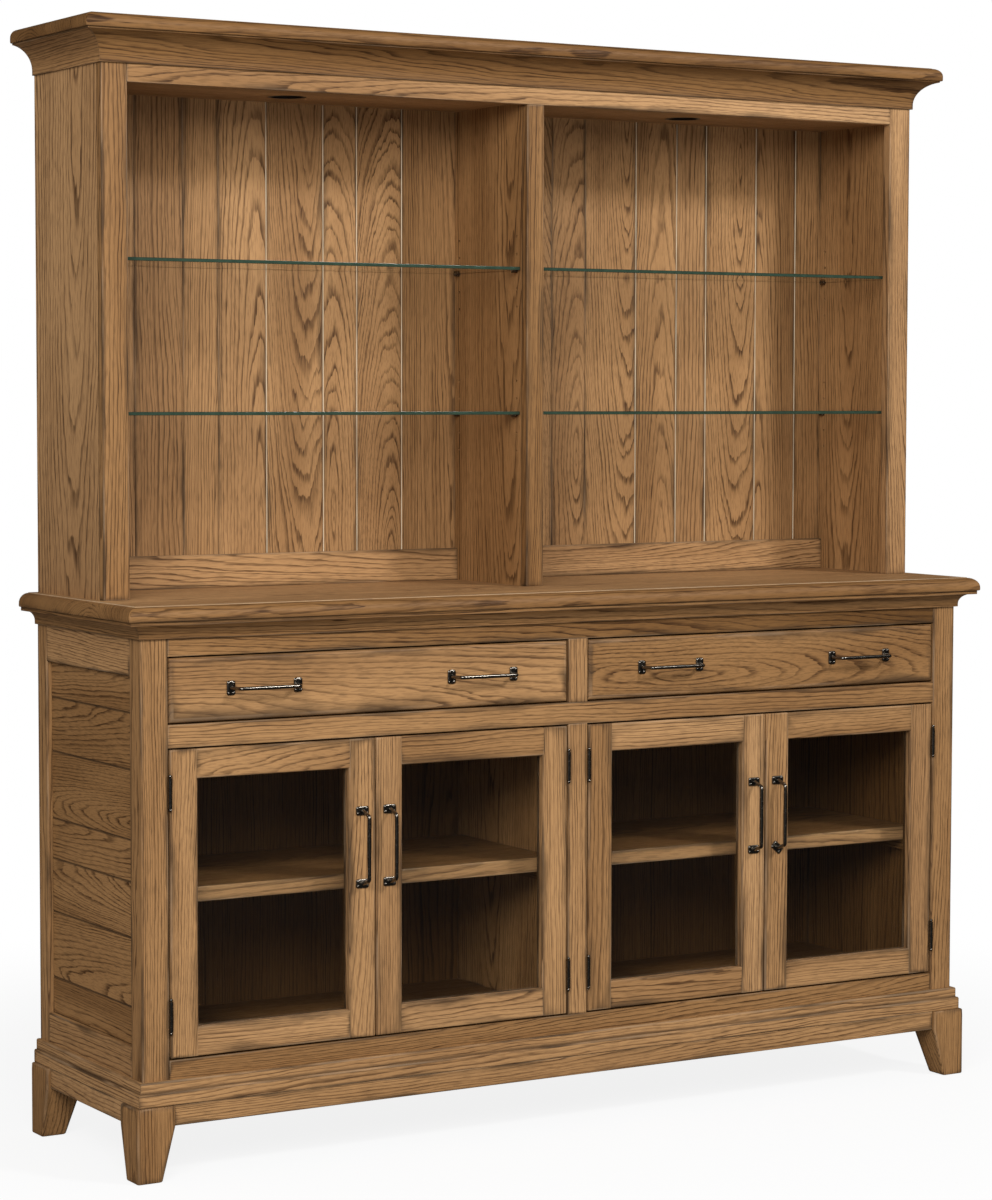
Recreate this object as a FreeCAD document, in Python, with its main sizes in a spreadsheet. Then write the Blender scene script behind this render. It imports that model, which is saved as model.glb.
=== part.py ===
import FreeCAD, Part
import math
import os
import Sketcher

# A dresser with a hutch in stained oak: a base with two drawers over two pairs of glazed doors, and an
# open hutch with glass shelves on top of it. Millimetres, +Z up, +X to the right seen from the front,
# -Y towards the person who opens it. The origin is on the floor, under the middle of the whole outline.

Vector = FreeCAD.Vector
doc = FreeCAD.newDocument("dresser_with_hutch")
sheet = doc.addObject("Spreadsheet::Sheet", "sizes")
aliases = []
nodes = []


class Size:
    """A driving size, or a sum of them: its value now, and the expression that binds a feature to it."""

    def __init__(self, value, text):
        self.value = value
        self.text = text

    def __add__(self, other):
        other = as_size(other)
        return Size(self.value + other.value, f"({self.text} + {other.text})")

    def __sub__(self, other):
        other = as_size(other)
        return Size(self.value - other.value, f"({self.text} - {other.text})")

    def __mul__(self, factor):
        factor = as_size(factor)
        return Size(self.value * factor.value, f"({self.text} * {factor.text})")

    def __truediv__(self, divisor):
        divisor = as_size(divisor)
        return Size(self.value / divisor.value, f"({self.text} / {divisor.text})")

    def __neg__(self):
        return Size(-self.value, f"(-{self.text})")


def as_size(number):
    """A plain count or share as a Size, so that it can stand in a sum."""
    if isinstance(number, Size):
        return number
    return Size(float(number), f"({number})")


def size(alias, value):
    """One driving size: the next row of the sheet, with its own alias."""
    aliases.append(alias)
    row = len(aliases)
    sheet.set(f"A{row}", alias)
    sheet.set(f"B{row}", str(value))
    sheet.setAlias(f"B{row}", alias)
    return Size(float(value), f"sizes.{alias}")


zero = as_size(0)

# Base: the carcase, its heights from the floor up, and the boards it is framed from.
base_width = size("base_width", 1720)
base_depth = size("base_depth", 436)
foot_height = size("foot_height", 127)
bottom_rail_height = size("bottom_rail_height", 73.5)
door_opening_height = size("door_opening_height", 527.5)
middle_rail_height = size("middle_rail_height", 39)
drawer_opening_height = size("drawer_opening_height", 114.5)
top_rail_height = size("top_rail_height", 61.5)
post_width = size("post_width", 50)
post_depth = size("post_depth", 45)
rear_post_depth = size("rear_post_depth", 40)
rail_thickness = size("rail_thickness", 22)
divider_width = size("divider_width", 40)
side_rail_thickness = size("side_rail_thickness", 20)
side_top_rail_height = size("side_top_rail_height", 95)
side_bottom_rail_height = size("side_bottom_rail_height", 94)
side_plank_recess = size("side_plank_recess", 9)
side_plank_thickness = size("side_plank_thickness", 12)
floor_thickness = size("floor_thickness", 19)
partition_thickness = size("partition_thickness", 20)
base_back_thickness = size("base_back_thickness", 9)
base_back_inset = size("base_back_inset", 12)
base_shelf_rise = size("base_shelf_rise", 255)
base_shelf_thickness = size("base_shelf_thickness", 26)
base_shelf_setback = size("base_shelf_setback", 60)
base_shelf_play = size("base_shelf_play", 1)
shelf_cleat_height = size("shelf_cleat_height", 20)
shelf_cleat_width = size("shelf_cleat_width", 18)
base_lining_thickness = size("base_lining_thickness", 6)
base_top_thickness = size("base_top_thickness", 25)
base_top_overhang = size("base_top_overhang", 36)
base_top_round = size("base_top_round", 18)

# Cove under the base's top: a ledge, a hollow quarter round and a square lip.
base_cove_ledge = size("base_cove_ledge", 5)
base_cove_ledge_height = size("base_cove_ledge_height", 5.5)
base_cove_radius = size("base_cove_radius", 19)
base_cove_lip = size("base_cove_lip", 7)
base_cove_lip_height = size("base_cove_lip_height", 7)

# Plinth: a stepped moulding round the carcase, an apron under it, and tapered corner feet.
plinth_lower_proud = size("plinth_lower_proud", 12)
plinth_lower_height = size("plinth_lower_height", 23)
plinth_upper_proud = size("plinth_upper_proud", 7.5)
plinth_upper_height = size("plinth_upper_height", 18.5)
plinth_ease = size("plinth_ease", 2)
apron_height = size("apron_height", 35)
apron_thickness = size("apron_thickness", 20)
apron_proud = size("apron_proud", 11)
foot_width = size("foot_width", 70)
foot_toe_width = size("foot_toe_width", 46)
foot_proud = size("foot_proud", 18)

# Hutch: an open case that stands on the back of the base's top.
hutch_end_setback = size("hutch_end_setback", 2)
hutch_setback = size("hutch_setback", 150)
hutch_opening_height = size("hutch_opening_height", 876.5)
hutch_rail_height = size("hutch_rail_height", 84.5)
hutch_side_thickness = size("hutch_side_thickness", 20)
hutch_stile_width = size("hutch_stile_width", 48)
hutch_stile_thickness = size("hutch_stile_thickness", 20)
hutch_divider_width = size("hutch_divider_width", 36)
hutch_ceiling_rise = size("hutch_ceiling_rise", 4.5)
hutch_ceiling_thickness = size("hutch_ceiling_thickness", 19)
hutch_plank_thickness = size("hutch_plank_thickness", 12)
hutch_back_inset = size("hutch_back_inset", 13)
back_rail_height = size("back_rail_height", 60)
back_rail_thickness = size("back_rail_thickness", 11)
cornice_thickness = size("cornice_thickness", 25)
cornice_overhang = size("cornice_overhang", 46)
cornice_round = size("cornice_round", 15)
cornice_cove_ledge = size("cornice_cove_ledge", 4)
cornice_cove_ledge_height = size("cornice_cove_ledge_height", 6)
cornice_cove_run = size("cornice_cove_run", 37)
cornice_cove_rise = size("cornice_cove_rise", 45)
cornice_cove_radius = size("cornice_cove_radius", 44)
cornice_cove_lip_height = size("cornice_cove_lip_height", 2.5)

# Glass shelves of the hutch, the pins that carry them, and the lamps in its ceiling.
lower_shelf_rise = size("lower_shelf_rise", 314)
upper_shelf_rise = size("upper_shelf_rise", 577.5)
shelf_glass_thickness = size("shelf_glass_thickness", 6)
shelf_glass_setback = size("shelf_glass_setback", 22)
shelf_glass_play = size("shelf_glass_play", 1.5)
shelf_pin_radius = size("shelf_pin_radius", 2.5)
shelf_pin_play = size("shelf_pin_play", 0.05)
shelf_pin_depth = size("shelf_pin_depth", 9)
shelf_pin_reach = size("shelf_pin_reach", 11)
shelf_pin_blade_width = size("shelf_pin_blade_width", 8)
shelf_pin_blade_thickness = size("shelf_pin_blade_thickness", 2)
shelf_pin_pitch = size("shelf_pin_pitch", 32)
shelf_pin_inset = size("shelf_pin_inset", 16)
lamp_radius = size("lamp_radius", 35)
lamp_mouth_radius = size("lamp_mouth_radius", 28)
lamp_play = size("lamp_play", 0.3)
lamp_depth = size("lamp_depth", 15)
lamp_mouth_depth = size("lamp_mouth_depth", 9)
lamp_lens_thickness = size("lamp_lens_thickness", 2)

# Doors: stiles and rails with an inner edge that is only eased, and a groove all round for the glass.
door_gap = size("door_gap", 3)
door_thickness = size("door_thickness", 22)
door_stile_width = size("door_stile_width", 51)
door_rail_width = size("door_rail_width", 50)
door_sticking = size("door_sticking", 1.5)
door_edge_ease = size("door_edge_ease", 2)
door_glass_thickness = size("door_glass_thickness", 4)
door_glass_setback = size("door_glass_setback", 14)
door_glass_play = size("door_glass_play", 0.3)
door_groove_depth = size("door_groove_depth", 8)

# Ball-tipped butt hinges, two to a door.
hinge_length = size("hinge_length", 51)
hinge_inset = size("hinge_inset", 72)
hinge_knuckle_radius = size("hinge_knuckle_radius", 3.5)
hinge_face_play = size("hinge_face_play", 0.3)
hinge_knuckle_play = size("hinge_knuckle_play", 0.3)
hinge_leaf_thickness = size("hinge_leaf_thickness", 1.2)
hinge_leaf_depth = size("hinge_leaf_depth", 17)
hinge_pin_radius = size("hinge_pin_radius", 1.6)
hinge_pin_play = size("hinge_pin_play", 0.05)
hinge_tip_radius = size("hinge_tip_radius", 3)
hinge_tip_play = size("hinge_tip_play", 0.1)

# Pulls: a bent bar on two small plates, held by a screw at each end.
pull_span = size("pull_span", 127)
pull_projection = size("pull_projection", 26)
pull_bar_radius = size("pull_bar_radius", 3.3)
pull_leg_lean = size("pull_leg_lean", 7.5)
pull_plate_length = size("pull_plate_length", 25)
pull_plate_width = size("pull_plate_width", 16)
pull_plate_thickness = size("pull_plate_thickness", 4)
pull_plate_bevel = size("pull_plate_bevel", 1.8)
pull_screw_radius = size("pull_screw_radius", 2)
pull_screw_play = size("pull_screw_play", 0.1)
pull_screw_head_radius = size("pull_screw_head_radius", 4)
pull_screw_head_height = size("pull_screw_head_height", 2.5)
drawer_pull_spacing = size("drawer_pull_spacing", 430)
door_pull_rise = size("door_pull_rise", 335.5)

# Drawers, and the three-part slides that carry them.
drawer_gap = size("drawer_gap", 2.5)
drawer_front_thickness = size("drawer_front_thickness", 22)
drawer_front_bevel = size("drawer_front_bevel", 6)
drawer_side_thickness = size("drawer_side_thickness", 12)
drawer_side_height = size("drawer_side_height", 80)
drawer_floor_gap = size("drawer_floor_gap", 14)
drawer_rear_gap = size("drawer_rear_gap", 23)
drawer_bottom_thickness = size("drawer_bottom_thickness", 6)
drawer_bottom_rise = size("drawer_bottom_rise", 8)
slide_width = size("slide_width", 12.7)
slide_height = size("slide_height", 45)
slide_metal = size("slide_metal", 1.4)
slide_flange = size("slide_flange", 8)
slide_play = size("slide_play", 0.3)
slide_rear_gap = size("slide_rear_gap", 14)
slide_setback = size("slide_setback", 6)
cut_overrun = size("cut_overrun", 2)

# Random-width boards, as shares of the width or height that they fill together.
side_plank_shares = (0.104, 0.187, 0.151, 0.114, 0.190, 0.153, 0.101)
hutch_plank_shares = (
    0.046, 0.048, 0.057, 0.042, 0.058, 0.070, 0.042, 0.057, 0.070,
    0.058, 0.070, 0.045, 0.070, 0.057, 0.042, 0.072, 0.058, 0.038,
)
shelf_pin_positions = (-2, -1, 0, 1, 2)
lamp_depth_share = 0.56
turned_plate_angle = 40

# Planes that many pieces share, worked out from the sizes above.
half = base_width / 2
face = -(base_depth - base_top_overhang) / 2
back = face + base_depth
door_low = foot_height + bottom_rail_height
door_high = door_low + door_opening_height
drawer_low = door_high + middle_rail_height
drawer_high = drawer_low + drawer_opening_height
carcase_top = drawer_high + top_rail_height
base_top = carcase_top + base_top_thickness
bay_left = -half + post_width
bay_right = -divider_width / 2
base_back_face = back - base_back_inset - base_back_thickness
side_plank_inner = -half + side_plank_recess + side_plank_thickness
hutch_half = half - hutch_end_setback
hutch_face = face + hutch_setback
hutch_inner = hutch_half - hutch_side_thickness
hutch_back_face = back - hutch_back_inset - hutch_plank_thickness
hutch_rail_low = base_top + hutch_opening_height
hutch_ceiling_low = hutch_rail_low + hutch_ceiling_rise
cornice_low = hutch_rail_low + hutch_rail_height


def board(name, low, high):
    """A square-edged board between two corners."""
    piece = doc.addObject("Part::Box", name)
    for axis, side, start, end in zip("xyz", ("Length", "Width", "Height"), low, high):
        piece.setExpression(side, (end - start).text)
        piece.setExpression(f"Placement.Base.{axis}", start.text)
    return piece


def place(piece, base, rotation=None):
    """Turn a piece, then bind the point that its own origin goes to."""
    if rotation is not None:
        piece.Placement = FreeCAD.Placement(Vector(), rotation)
    for axis, value in zip("xyz", base):
        piece.setExpression(f"Placement.Base.{axis}", value.text)
    return piece


def rod(name, base, radius, length, rotation=None):
    """A round rod that starts at a point and runs up, or along the turned axis."""
    piece = doc.addObject("Part::Cylinder", name)
    piece.setExpression("Radius", radius.text)
    piece.setExpression("Height", length.text)
    return place(piece, base, rotation)


def ball(name, centre, radius):
    piece = doc.addObject("Part::Sphere", name)
    piece.setExpression("Radius", radius.text)
    return place(piece, centre)


def fused(name, pieces):
    piece = doc.addObject("Part::MultiFuse", name)
    piece.Shapes = pieces
    return piece


def cut(name, base, tools):
    """One piece less the space of others."""
    piece = doc.addObject("Part::Cut", name)
    piece.Base = base
    piece.Tool = tools[0] if len(tools) == 1 else group(f"{name}_tools", tools)
    return piece


def group(name, pieces):
    piece = doc.addObject("Part::Compound", name)
    piece.Links = pieces
    return piece


def mirrored(name, source, axis="x", plane=zero):
    """The twin of a piece on the other side of a plane across one axis."""
    twin = doc.addObject("Part::Mirroring", name)
    twin.Source = source
    twin.Normal = Vector(*(1.0 if axis == letter else 0.0 for letter in "xyz"))
    twin.setExpression(f"Base.{axis}", plane.text)
    return twin


def both_sides(pieces):
    """Left-hand pieces with their right-hand twins."""
    return pieces + [mirrored(f"{piece.Name}_twin", piece) for piece in pieces]


def node(name, pieces):
    """One node of the part: a single solid, or separate solids of one kind."""
    whole = pieces[0] if len(pieces) == 1 else group(f"{name}_pieces", pieces)
    whole.Label = name
    nodes.append((whole, len(pieces)))


def bind_point(sketch, geometry, end, point):
    """Hold one end of a sketch line at a point given in sizes, zero being on the sketch's own axis."""
    for kind, axis, value in zip(("DistanceX", "DistanceY"), (-2, -1), point):
        if value is zero:
            sketch.addConstraint(Sketcher.Constraint("PointOnObject", geometry, end, axis))
        else:
            index = sketch.addConstraint(Sketcher.Constraint(kind, -1, 1, geometry, end, value.value))
            sketch.setExpression(f"Constraints[{index}]", value.text)


def outline(body, role, corners):
    """A closed sketch, anticlockwise through its corners. A corner with a third size is reached by a
    hollow arc of that radius, any other by a straight line."""
    sketch = body.newObject("Sketcher::SketchObject", f"{body.Name}_outline")
    plane = next(feature for feature in body.Origin.OriginFeatures if feature.Role == role)
    sketch.AttachmentSupport = [(plane, "")]
    sketch.MapMode = "FlatFace"
    ends = []
    for here, there in zip(corners, corners[1:] + corners[:1]):
        start = Vector(here[0].value, here[1].value, 0)
        end = Vector(there[0].value, there[1].value, 0)
        if len(there) == 3:
            chord = end - start
            radius = there[2].value
            drop = math.sqrt(radius ** 2 - (chord.Length / 2) ** 2)
            centre = (start + end) / 2 + Vector(chord.y, -chord.x, 0).normalize() * drop
            angles = [math.atan2(point.y - centre.y, point.x - centre.x) for point in (end, start)]
            circle = Part.Circle(centre, Vector(0, 0, 1), radius)
            line = sketch.addGeometry(Part.ArcOfCircle(circle, *angles))
            limit = sketch.addConstraint(Sketcher.Constraint("Radius", line, radius))
            sketch.setExpression(f"Constraints[{limit}]", there[2].text)
            ends.append((line, 2, 1))
        else:
            line = sketch.addGeometry(Part.LineSegment(start, end))
            ends.append((line, 1, 2))
    for this, following in zip(ends, ends[1:] + ends[:1]):
        sketch.addConstraint(Sketcher.Constraint("Coincident", this[0], this[2], following[0], following[1]))
    for this, corner in zip(ends, corners):
        bind_point(sketch, this[0], this[1], corner)
    return sketch


def prism(name, role, corners, length, base, rotation=None):
    """A body padded from a closed outline on one of its own planes."""
    body = doc.addObject("PartDesign::Body", name)
    pad = body.newObject("PartDesign::Pad", f"{name}_pad")
    pad.Profile = outline(body, role, corners)
    pad.setExpression("Length", length.text)
    body.Tip = pad
    return place(body, base, rotation)


def rectangle(width, height):
    return [(zero, zero), (width, zero), (width, height), (zero, height)]


def lies_at(low, high, level):
    """Whether an edge lies flat at one level."""
    return math.isclose(low, level, rel_tol=1e-6) and math.isclose(high, level, rel_tol=1e-6)


def ease_edges(body, kind, amount, wanted):
    """Round or bevel the edges of a body that a test picks out, in the body's own frame."""
    doc.recompute()
    base = body.Tip
    names = [f"Edge{i + 1}" for i, edge in enumerate(base.Shape.Edges) if wanted(edge.BoundBox)]
    feature = body.newObject(f"PartDesign::{kind}", f"{body.Name}_{kind.lower()}")
    feature.Base = (base, names)
    feature.setExpression("Size" if kind == "Chamfer" else "Radius", amount.text)
    body.Tip = feature
    return body


HALF_TURN = FreeCAD.Rotation(Vector(0, 0, 1), 180)
ALONG_X = FreeCAD.Rotation(Vector(0, 1, 0), 90)
ALONG_Y = FreeCAD.Rotation(Vector(1, 0, 0), -90)
UPRIGHT_WEDGE = FreeCAD.Rotation(Vector(1, 0, 0), 90)


def moulding(name, corners, width_half, front, rear, proud, low):
    """Three lengths of one moulding, mitred at the front corners: the front, the left and the right.
    The outline runs outwards and up from the corner that lies on the case."""
    height = corners[-1][1]
    ends = front - proud
    wedge = doc.addObject("Part::Wedge", f"{name}_mitre")
    outer = width_half + proud
    limits = {
        "Xmin": -outer, "Xmax": outer, "X2min": -width_half, "X2max": width_half,
        "Ymin": zero, "Ymax": proud, "Zmin": zero, "Zmax": height, "Z2min": zero, "Z2max": height,
    }
    for limit, value in limits.items():
        wedge.setExpression(limit, value.text)
    place(wedge, (zero, ends, low))
    front_run = prism(f"{name}_front_run", "YZ_Plane", corners, outer * 2, (outer, front, low), HALF_TURN)
    front_piece = doc.addObject("Part::Common", f"{name}_front")
    front_piece.Base = front_run
    front_piece.Tool = wedge
    side_run = prism(
        f"{name}_side_run", "XZ_Plane", corners, rear - ends, (-width_half, ends, low), HALF_TURN
    )
    left_piece = cut(f"{name}_left", side_run, [wedge])
    return [front_piece] + both_sides([left_piece])


def rounded_top(name, width_half, front, rear, low, thickness, radius):
    """A top board whose upper edge is rounded over at the front and both ends."""
    plan = rectangle(width_half * 2, rear - front)
    body = prism(f"{name}_board", "XY_Plane", plan, thickness, (-width_half, front, low))
    top = thickness.value
    depth = (rear - front).value
    ease_edges(body, "Fillet", radius, lambda box: lies_at(box.ZMin, box.ZMax, top) and box.YMin < depth / 2)
    node(name, [body])


# Base frame: four posts, the rails and short stiles of the front, and the rails of the two ends.
front_post = board(
    "front_post", (-half, face, foot_height), (-half + post_width, face + post_depth, carcase_top)
)
rear_post = board(
    "rear_post", (-half, back - rear_post_depth, foot_height), (-half + post_width, back, carcase_top)
)
front_posts = both_sides([front_post])
rear_posts = both_sides([rear_post])
node("base_posts", front_posts + rear_posts)
rail_back = face + rail_thickness
for name, low, high in (
    ("base_top_rail", drawer_high, carcase_top),
    ("base_middle_rail", door_high, drawer_low),
    ("base_bottom_rail", foot_height, door_low),
):
    node(name, [board(f"{name}_board", (bay_left, face, low), (-bay_left, rail_back, high))])
node("base_centre_stiles", [
    board("drawer_stile", (bay_right, face, drawer_low), (-bay_right, rail_back, drawer_high)),
    board("door_stile", (bay_right, face, door_low), (-bay_right, rail_back, door_high)),
])
side_front = face + post_depth
side_rear = back - rear_post_depth
side_low = foot_height + side_bottom_rail_height
side_high = carcase_top - side_top_rail_height
side_rail_inner = -half + side_rail_thickness
node("base_side_rails", both_sides([
    board("side_top_rail", (-half, side_front, side_high), (side_rail_inner, side_rear, carcase_top)),
    board("side_bottom_rail", (-half, side_front, foot_height), (side_rail_inner, side_rear, side_low)),
]))

# End panels: random-width planks laid level, one above the other, behind the face of the end rails.
side_planks = []
plank_low = side_low
for number, share in enumerate(side_plank_shares):
    plank_high = plank_low + (side_high - side_low) * share
    side_planks.append(board(
        f"side_plank_{number}",
        (-half + side_plank_recess, side_front, plank_low),
        (side_plank_inner, side_rear, plank_high),
    ))
    plank_low = plank_high
node("base_side_planks", both_sides(side_planks))

# Inside of the base: the floor notched round the posts, the partition, the back, the shelves, a lining at each
# end that is flush with the posts, and the cleats.
floor_blank = board(
    "floor_blank", (side_rail_inner, rail_back, door_low - floor_thickness),
    (-side_rail_inner, base_back_face, door_low),
)
node("base_floor", [cut("floor_board", floor_blank, front_posts + rear_posts)])
partition_half = partition_thickness / 2
node("base_partition", [board(
    "partition_board", (-partition_half, rail_back, door_low), (partition_half, base_back_face, carcase_top)
)])
node("base_back", [board(
    "back_board", (bay_left, base_back_face, foot_height), (-bay_left, back - base_back_inset, carcase_top)
)])
shelf_low = door_low + base_shelf_rise
node("base_shelves", both_sides([board(
    "base_shelf",
    (bay_left + base_shelf_play, face + base_shelf_setback, shelf_low),
    (-partition_half - base_shelf_play, side_rear - base_shelf_play, shelf_low + base_shelf_thickness),
)]))
slide_middle = drawer_low + drawer_floor_gap + drawer_side_height / 2
slide_low = slide_middle - slide_height / 2
slide_high = slide_middle + slide_height / 2
node("base_linings", both_sides([board(
    "end_lining", (bay_left - base_lining_thickness, side_front, door_low), (bay_left, side_rear, slide_low)
)]))
cleat_low = shelf_low - shelf_cleat_height
node("base_cleats", both_sides([
    board("shelf_end_cleat", (bay_left, side_front, cleat_low),
          (bay_left + shelf_cleat_width, side_rear, shelf_low)),
    board("shelf_inner_cleat", (-partition_half - shelf_cleat_width, side_front, cleat_low),
          (-partition_half, side_rear, shelf_low)),
    board("slide_end_cleat", (side_plank_inner, side_front, slide_low), (bay_left, side_rear, slide_high)),
    board("slide_inner_cleat", (bay_right, rail_back, slide_low),
          (-partition_half, base_back_face, slide_high)),
]))

# Top of the base, and the cove that fills the corner under its overhang.
rounded_top("base_top", half + base_top_overhang, face - base_top_overhang, back, carcase_top,
            base_top_thickness, base_top_round)
cove_out = base_cove_ledge + base_cove_radius
cove_up = base_cove_ledge_height + base_cove_radius
base_cove_proud = cove_out + base_cove_lip
base_cove_height = cove_up + base_cove_lip_height
base_cove_outline = [
    (zero, zero),
    (base_cove_ledge, zero),
    (base_cove_ledge, base_cove_ledge_height),
    (cove_out, cove_up, base_cove_radius),
    (base_cove_proud, cove_up),
    (base_cove_proud, base_cove_height),
    (zero, base_cove_height),
]
node("base_cove_moulding", moulding(
    "base_cove", base_cove_outline, half, face, back, base_cove_proud, carcase_top - base_cove_height
))

# Plinth: the stepped moulding, the apron boards between the feet, and the feet.
plinth_height = plinth_lower_height + plinth_upper_height
plinth_outline = [
    (zero, zero),
    (plinth_lower_proud, zero),
    (plinth_lower_proud, plinth_lower_height - plinth_ease),
    (plinth_lower_proud - plinth_ease, plinth_lower_height),
    (plinth_upper_proud, plinth_lower_height),
    (plinth_upper_proud, plinth_height - plinth_ease),
    (plinth_upper_proud - plinth_ease, plinth_height),
    (zero, plinth_height),
]
node("plinth_moulding", moulding(
    "plinth", plinth_outline, half, face, back, plinth_lower_proud, foot_height
))
foot_outer = half + foot_proud
foot_front = face - foot_proud
foot_inner = -foot_outer + foot_width
apron_low = foot_height - apron_height
front_apron = board(
    "front_apron", (foot_inner, face - apron_proud, apron_low),
    (-foot_inner, face - apron_proud + apron_thickness, foot_height),
)
side_apron = board(
    "side_apron", (-half - apron_proud, foot_front + foot_width, apron_low),
    (-half - apron_proud + apron_thickness, back - foot_width, foot_height),
)
node("plinth_aprons", [front_apron] + both_sides([side_apron]))


def foot(name, base_y, toe_low, toe_high):
    """A corner foot: a square block as tall as the apron over a toe that tapers on its two inner sides.
    The toe's limits run forwards from base_y, the rear of the foot."""
    block = board(
        f"{name}_block", (-foot_outer, base_y - foot_width, apron_low), (foot_inner, base_y, foot_height)
    )
    toe = doc.addObject("Part::Wedge", f"{name}_toe")
    limits = {
        "Xmin": zero, "Xmax": foot_toe_width, "X2min": zero, "X2max": foot_width,
        "Ymin": zero, "Ymax": apron_low, "Zmin": toe_low, "Zmax": toe_high,
        "Z2min": zero, "Z2max": foot_width,
    }
    for limit, value in limits.items():
        toe.setExpression(limit, value.text)
    place(toe, (-foot_outer, base_y, zero), UPRIGHT_WEDGE)
    return fused(name, [block, toe])


node("feet", both_sides([
    foot("front_foot", foot_front + foot_width, foot_width - foot_toe_width, foot_width),
    foot("rear_foot", back, zero, foot_toe_width),
]))

# Hutch case: sides drilled for the shelf pins, a front frame, a divider, a ceiling and a plank back.
stile_back = hutch_face + hutch_stile_thickness
shelf_lows = [base_top + rise for rise in (lower_shelf_rise, upper_shelf_rise)]
pin_rows = [stile_back + shelf_pin_inset, hutch_back_face - shelf_pin_inset]


def pin_holes(name, start, length):
    """Two rows of holes along X, with spare positions above and below each shelf."""
    radius = shelf_pin_radius + shelf_pin_play
    return [
        rod(f"{name}_{row}_{level}_{number}", (start, pin_y, low - shelf_pin_radius + shelf_pin_pitch * step),
            radius, length, ALONG_X)
        for row, pin_y in enumerate(pin_rows)
        for level, low in enumerate(shelf_lows)
        for number, step in enumerate(shelf_pin_positions)
    ]


hutch_side_blank = board(
    "hutch_side_blank", (-hutch_half, stile_back, base_top), (-hutch_inner, back, cornice_low)
)
hole_depth = shelf_pin_depth + cut_overrun
side_holes = pin_holes("side_hole", -hutch_inner - hole_depth, hole_depth * 2)
hutch_side = cut("hutch_side", hutch_side_blank, side_holes)
node("hutch_left_side", [hutch_side])
node("hutch_right_side", [mirrored("hutch_side_twin", hutch_side)])
divider_half = hutch_divider_width / 2
stile_inner = -hutch_half + hutch_stile_width
node("hutch_stiles", both_sides([
    board("hutch_end_stile", (-hutch_half, hutch_face, base_top), (stile_inner, stile_back, cornice_low)),
]) + [
    board("hutch_middle_stile", (-divider_half, hutch_face, base_top),
          (divider_half, stile_back, hutch_rail_low)),
])
node("hutch_top_rail", [board(
    "hutch_rail", (stile_inner, hutch_face, hutch_rail_low), (-stile_inner, stile_back, cornice_low)
)])
divider_blank = board(
    "divider_blank", (-divider_half, stile_back, base_top), (divider_half, hutch_back_face, hutch_ceiling_low)
)
divider_holes = pin_holes("divider_left_hole", -divider_half - hole_depth, hole_depth * 2)
divider_holes += pin_holes("divider_right_hole", divider_half - hole_depth, hole_depth * 2)
node("hutch_divider", [cut("divider_panel", divider_blank, divider_holes)])
hutch_planks = []
plank_left = -hutch_inner
for number, share in enumerate(hutch_plank_shares):
    plank_right = plank_left + hutch_inner * 2 * share
    hutch_planks.append(board(
        f"hutch_plank_{number}",
        (plank_left, hutch_back_face, base_top),
        (plank_right, back - hutch_back_inset, cornice_low),
    ))
    plank_left = plank_right
node("hutch_back_planks", hutch_planks)
node("hutch_back_rails", both_sides([board(
    "back_rail", (-hutch_inner, hutch_back_face - back_rail_thickness, base_top),
    (-divider_half, hutch_back_face, base_top + back_rail_height),
)]))

# Ceiling of the hutch with a recessed lamp over each bay.
lamp_x = -(hutch_inner + divider_half) / 2
lamp_y = stile_back + (hutch_back_face - stile_back) * lamp_depth_share
ceiling_blank = board(
    "ceiling_blank", (-hutch_inner, stile_back, hutch_ceiling_low),
    (hutch_inner, hutch_back_face, hutch_ceiling_low + hutch_ceiling_thickness),
)
lamp_holes = both_sides([rod(
    "lamp_hole", (lamp_x, lamp_y, hutch_ceiling_low - cut_overrun), lamp_radius + lamp_play,
    hutch_ceiling_thickness + cut_overrun * 2,
)])
node("hutch_ceiling", [cut("ceiling_panel", ceiling_blank, lamp_holes)])
lamp_can = rod("lamp_can", (lamp_x, lamp_y, hutch_ceiling_low), lamp_radius, lamp_depth)
lamp_mouth = rod(
    "lamp_mouth", (lamp_x, lamp_y, hutch_ceiling_low - cut_overrun), lamp_mouth_radius,
    lamp_mouth_depth + cut_overrun,
)
node("lamp_housings", both_sides([cut("lamp_housing", lamp_can, [lamp_mouth])]))
lamp_lens_low = hutch_ceiling_low + lamp_mouth_depth - lamp_lens_thickness
node("lamp_lenses", both_sides([rod(
    "lamp_lens", (lamp_x, lamp_y, lamp_lens_low), lamp_mouth_radius, lamp_lens_thickness
)]))

# Cornice: a deep cove under a rounded board.
rounded_top("cornice_top", hutch_half + cornice_overhang, hutch_face - cornice_overhang, back, cornice_low,
            cornice_thickness, cornice_round)
cornice_cove_out = cornice_cove_ledge + cornice_cove_run
cornice_cove_up = cornice_cove_ledge_height + cornice_cove_rise
cornice_cove_height = cornice_cove_up + cornice_cove_lip_height
cornice_outline = [
    (zero, zero),
    (cornice_cove_ledge, zero),
    (cornice_cove_ledge, cornice_cove_ledge_height),
    (cornice_cove_out, cornice_cove_up, cornice_cove_radius),
    (cornice_cove_out, cornice_cove_height),
    (zero, cornice_cove_height),
]
node("cornice_cove", moulding(
    "cornice_cove", cornice_outline, hutch_half, hutch_face, back, cornice_cove_out,
    cornice_low - cornice_cove_height,
))

# Glass shelves on pins: each pin has a shank in its hole and a flat blade under the glass.
shelf_front = hutch_face + shelf_glass_setback
shelf_rear = hutch_back_face - shelf_glass_play
shelf_panes = [
    board(f"shelf_pane_{level}", (-hutch_inner + shelf_glass_play, shelf_front, low),
          (-divider_half - shelf_glass_play, shelf_rear, low + shelf_glass_thickness))
    for level, low in enumerate(shelf_lows)
]
node("glass_shelves", both_sides(shelf_panes))


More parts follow.
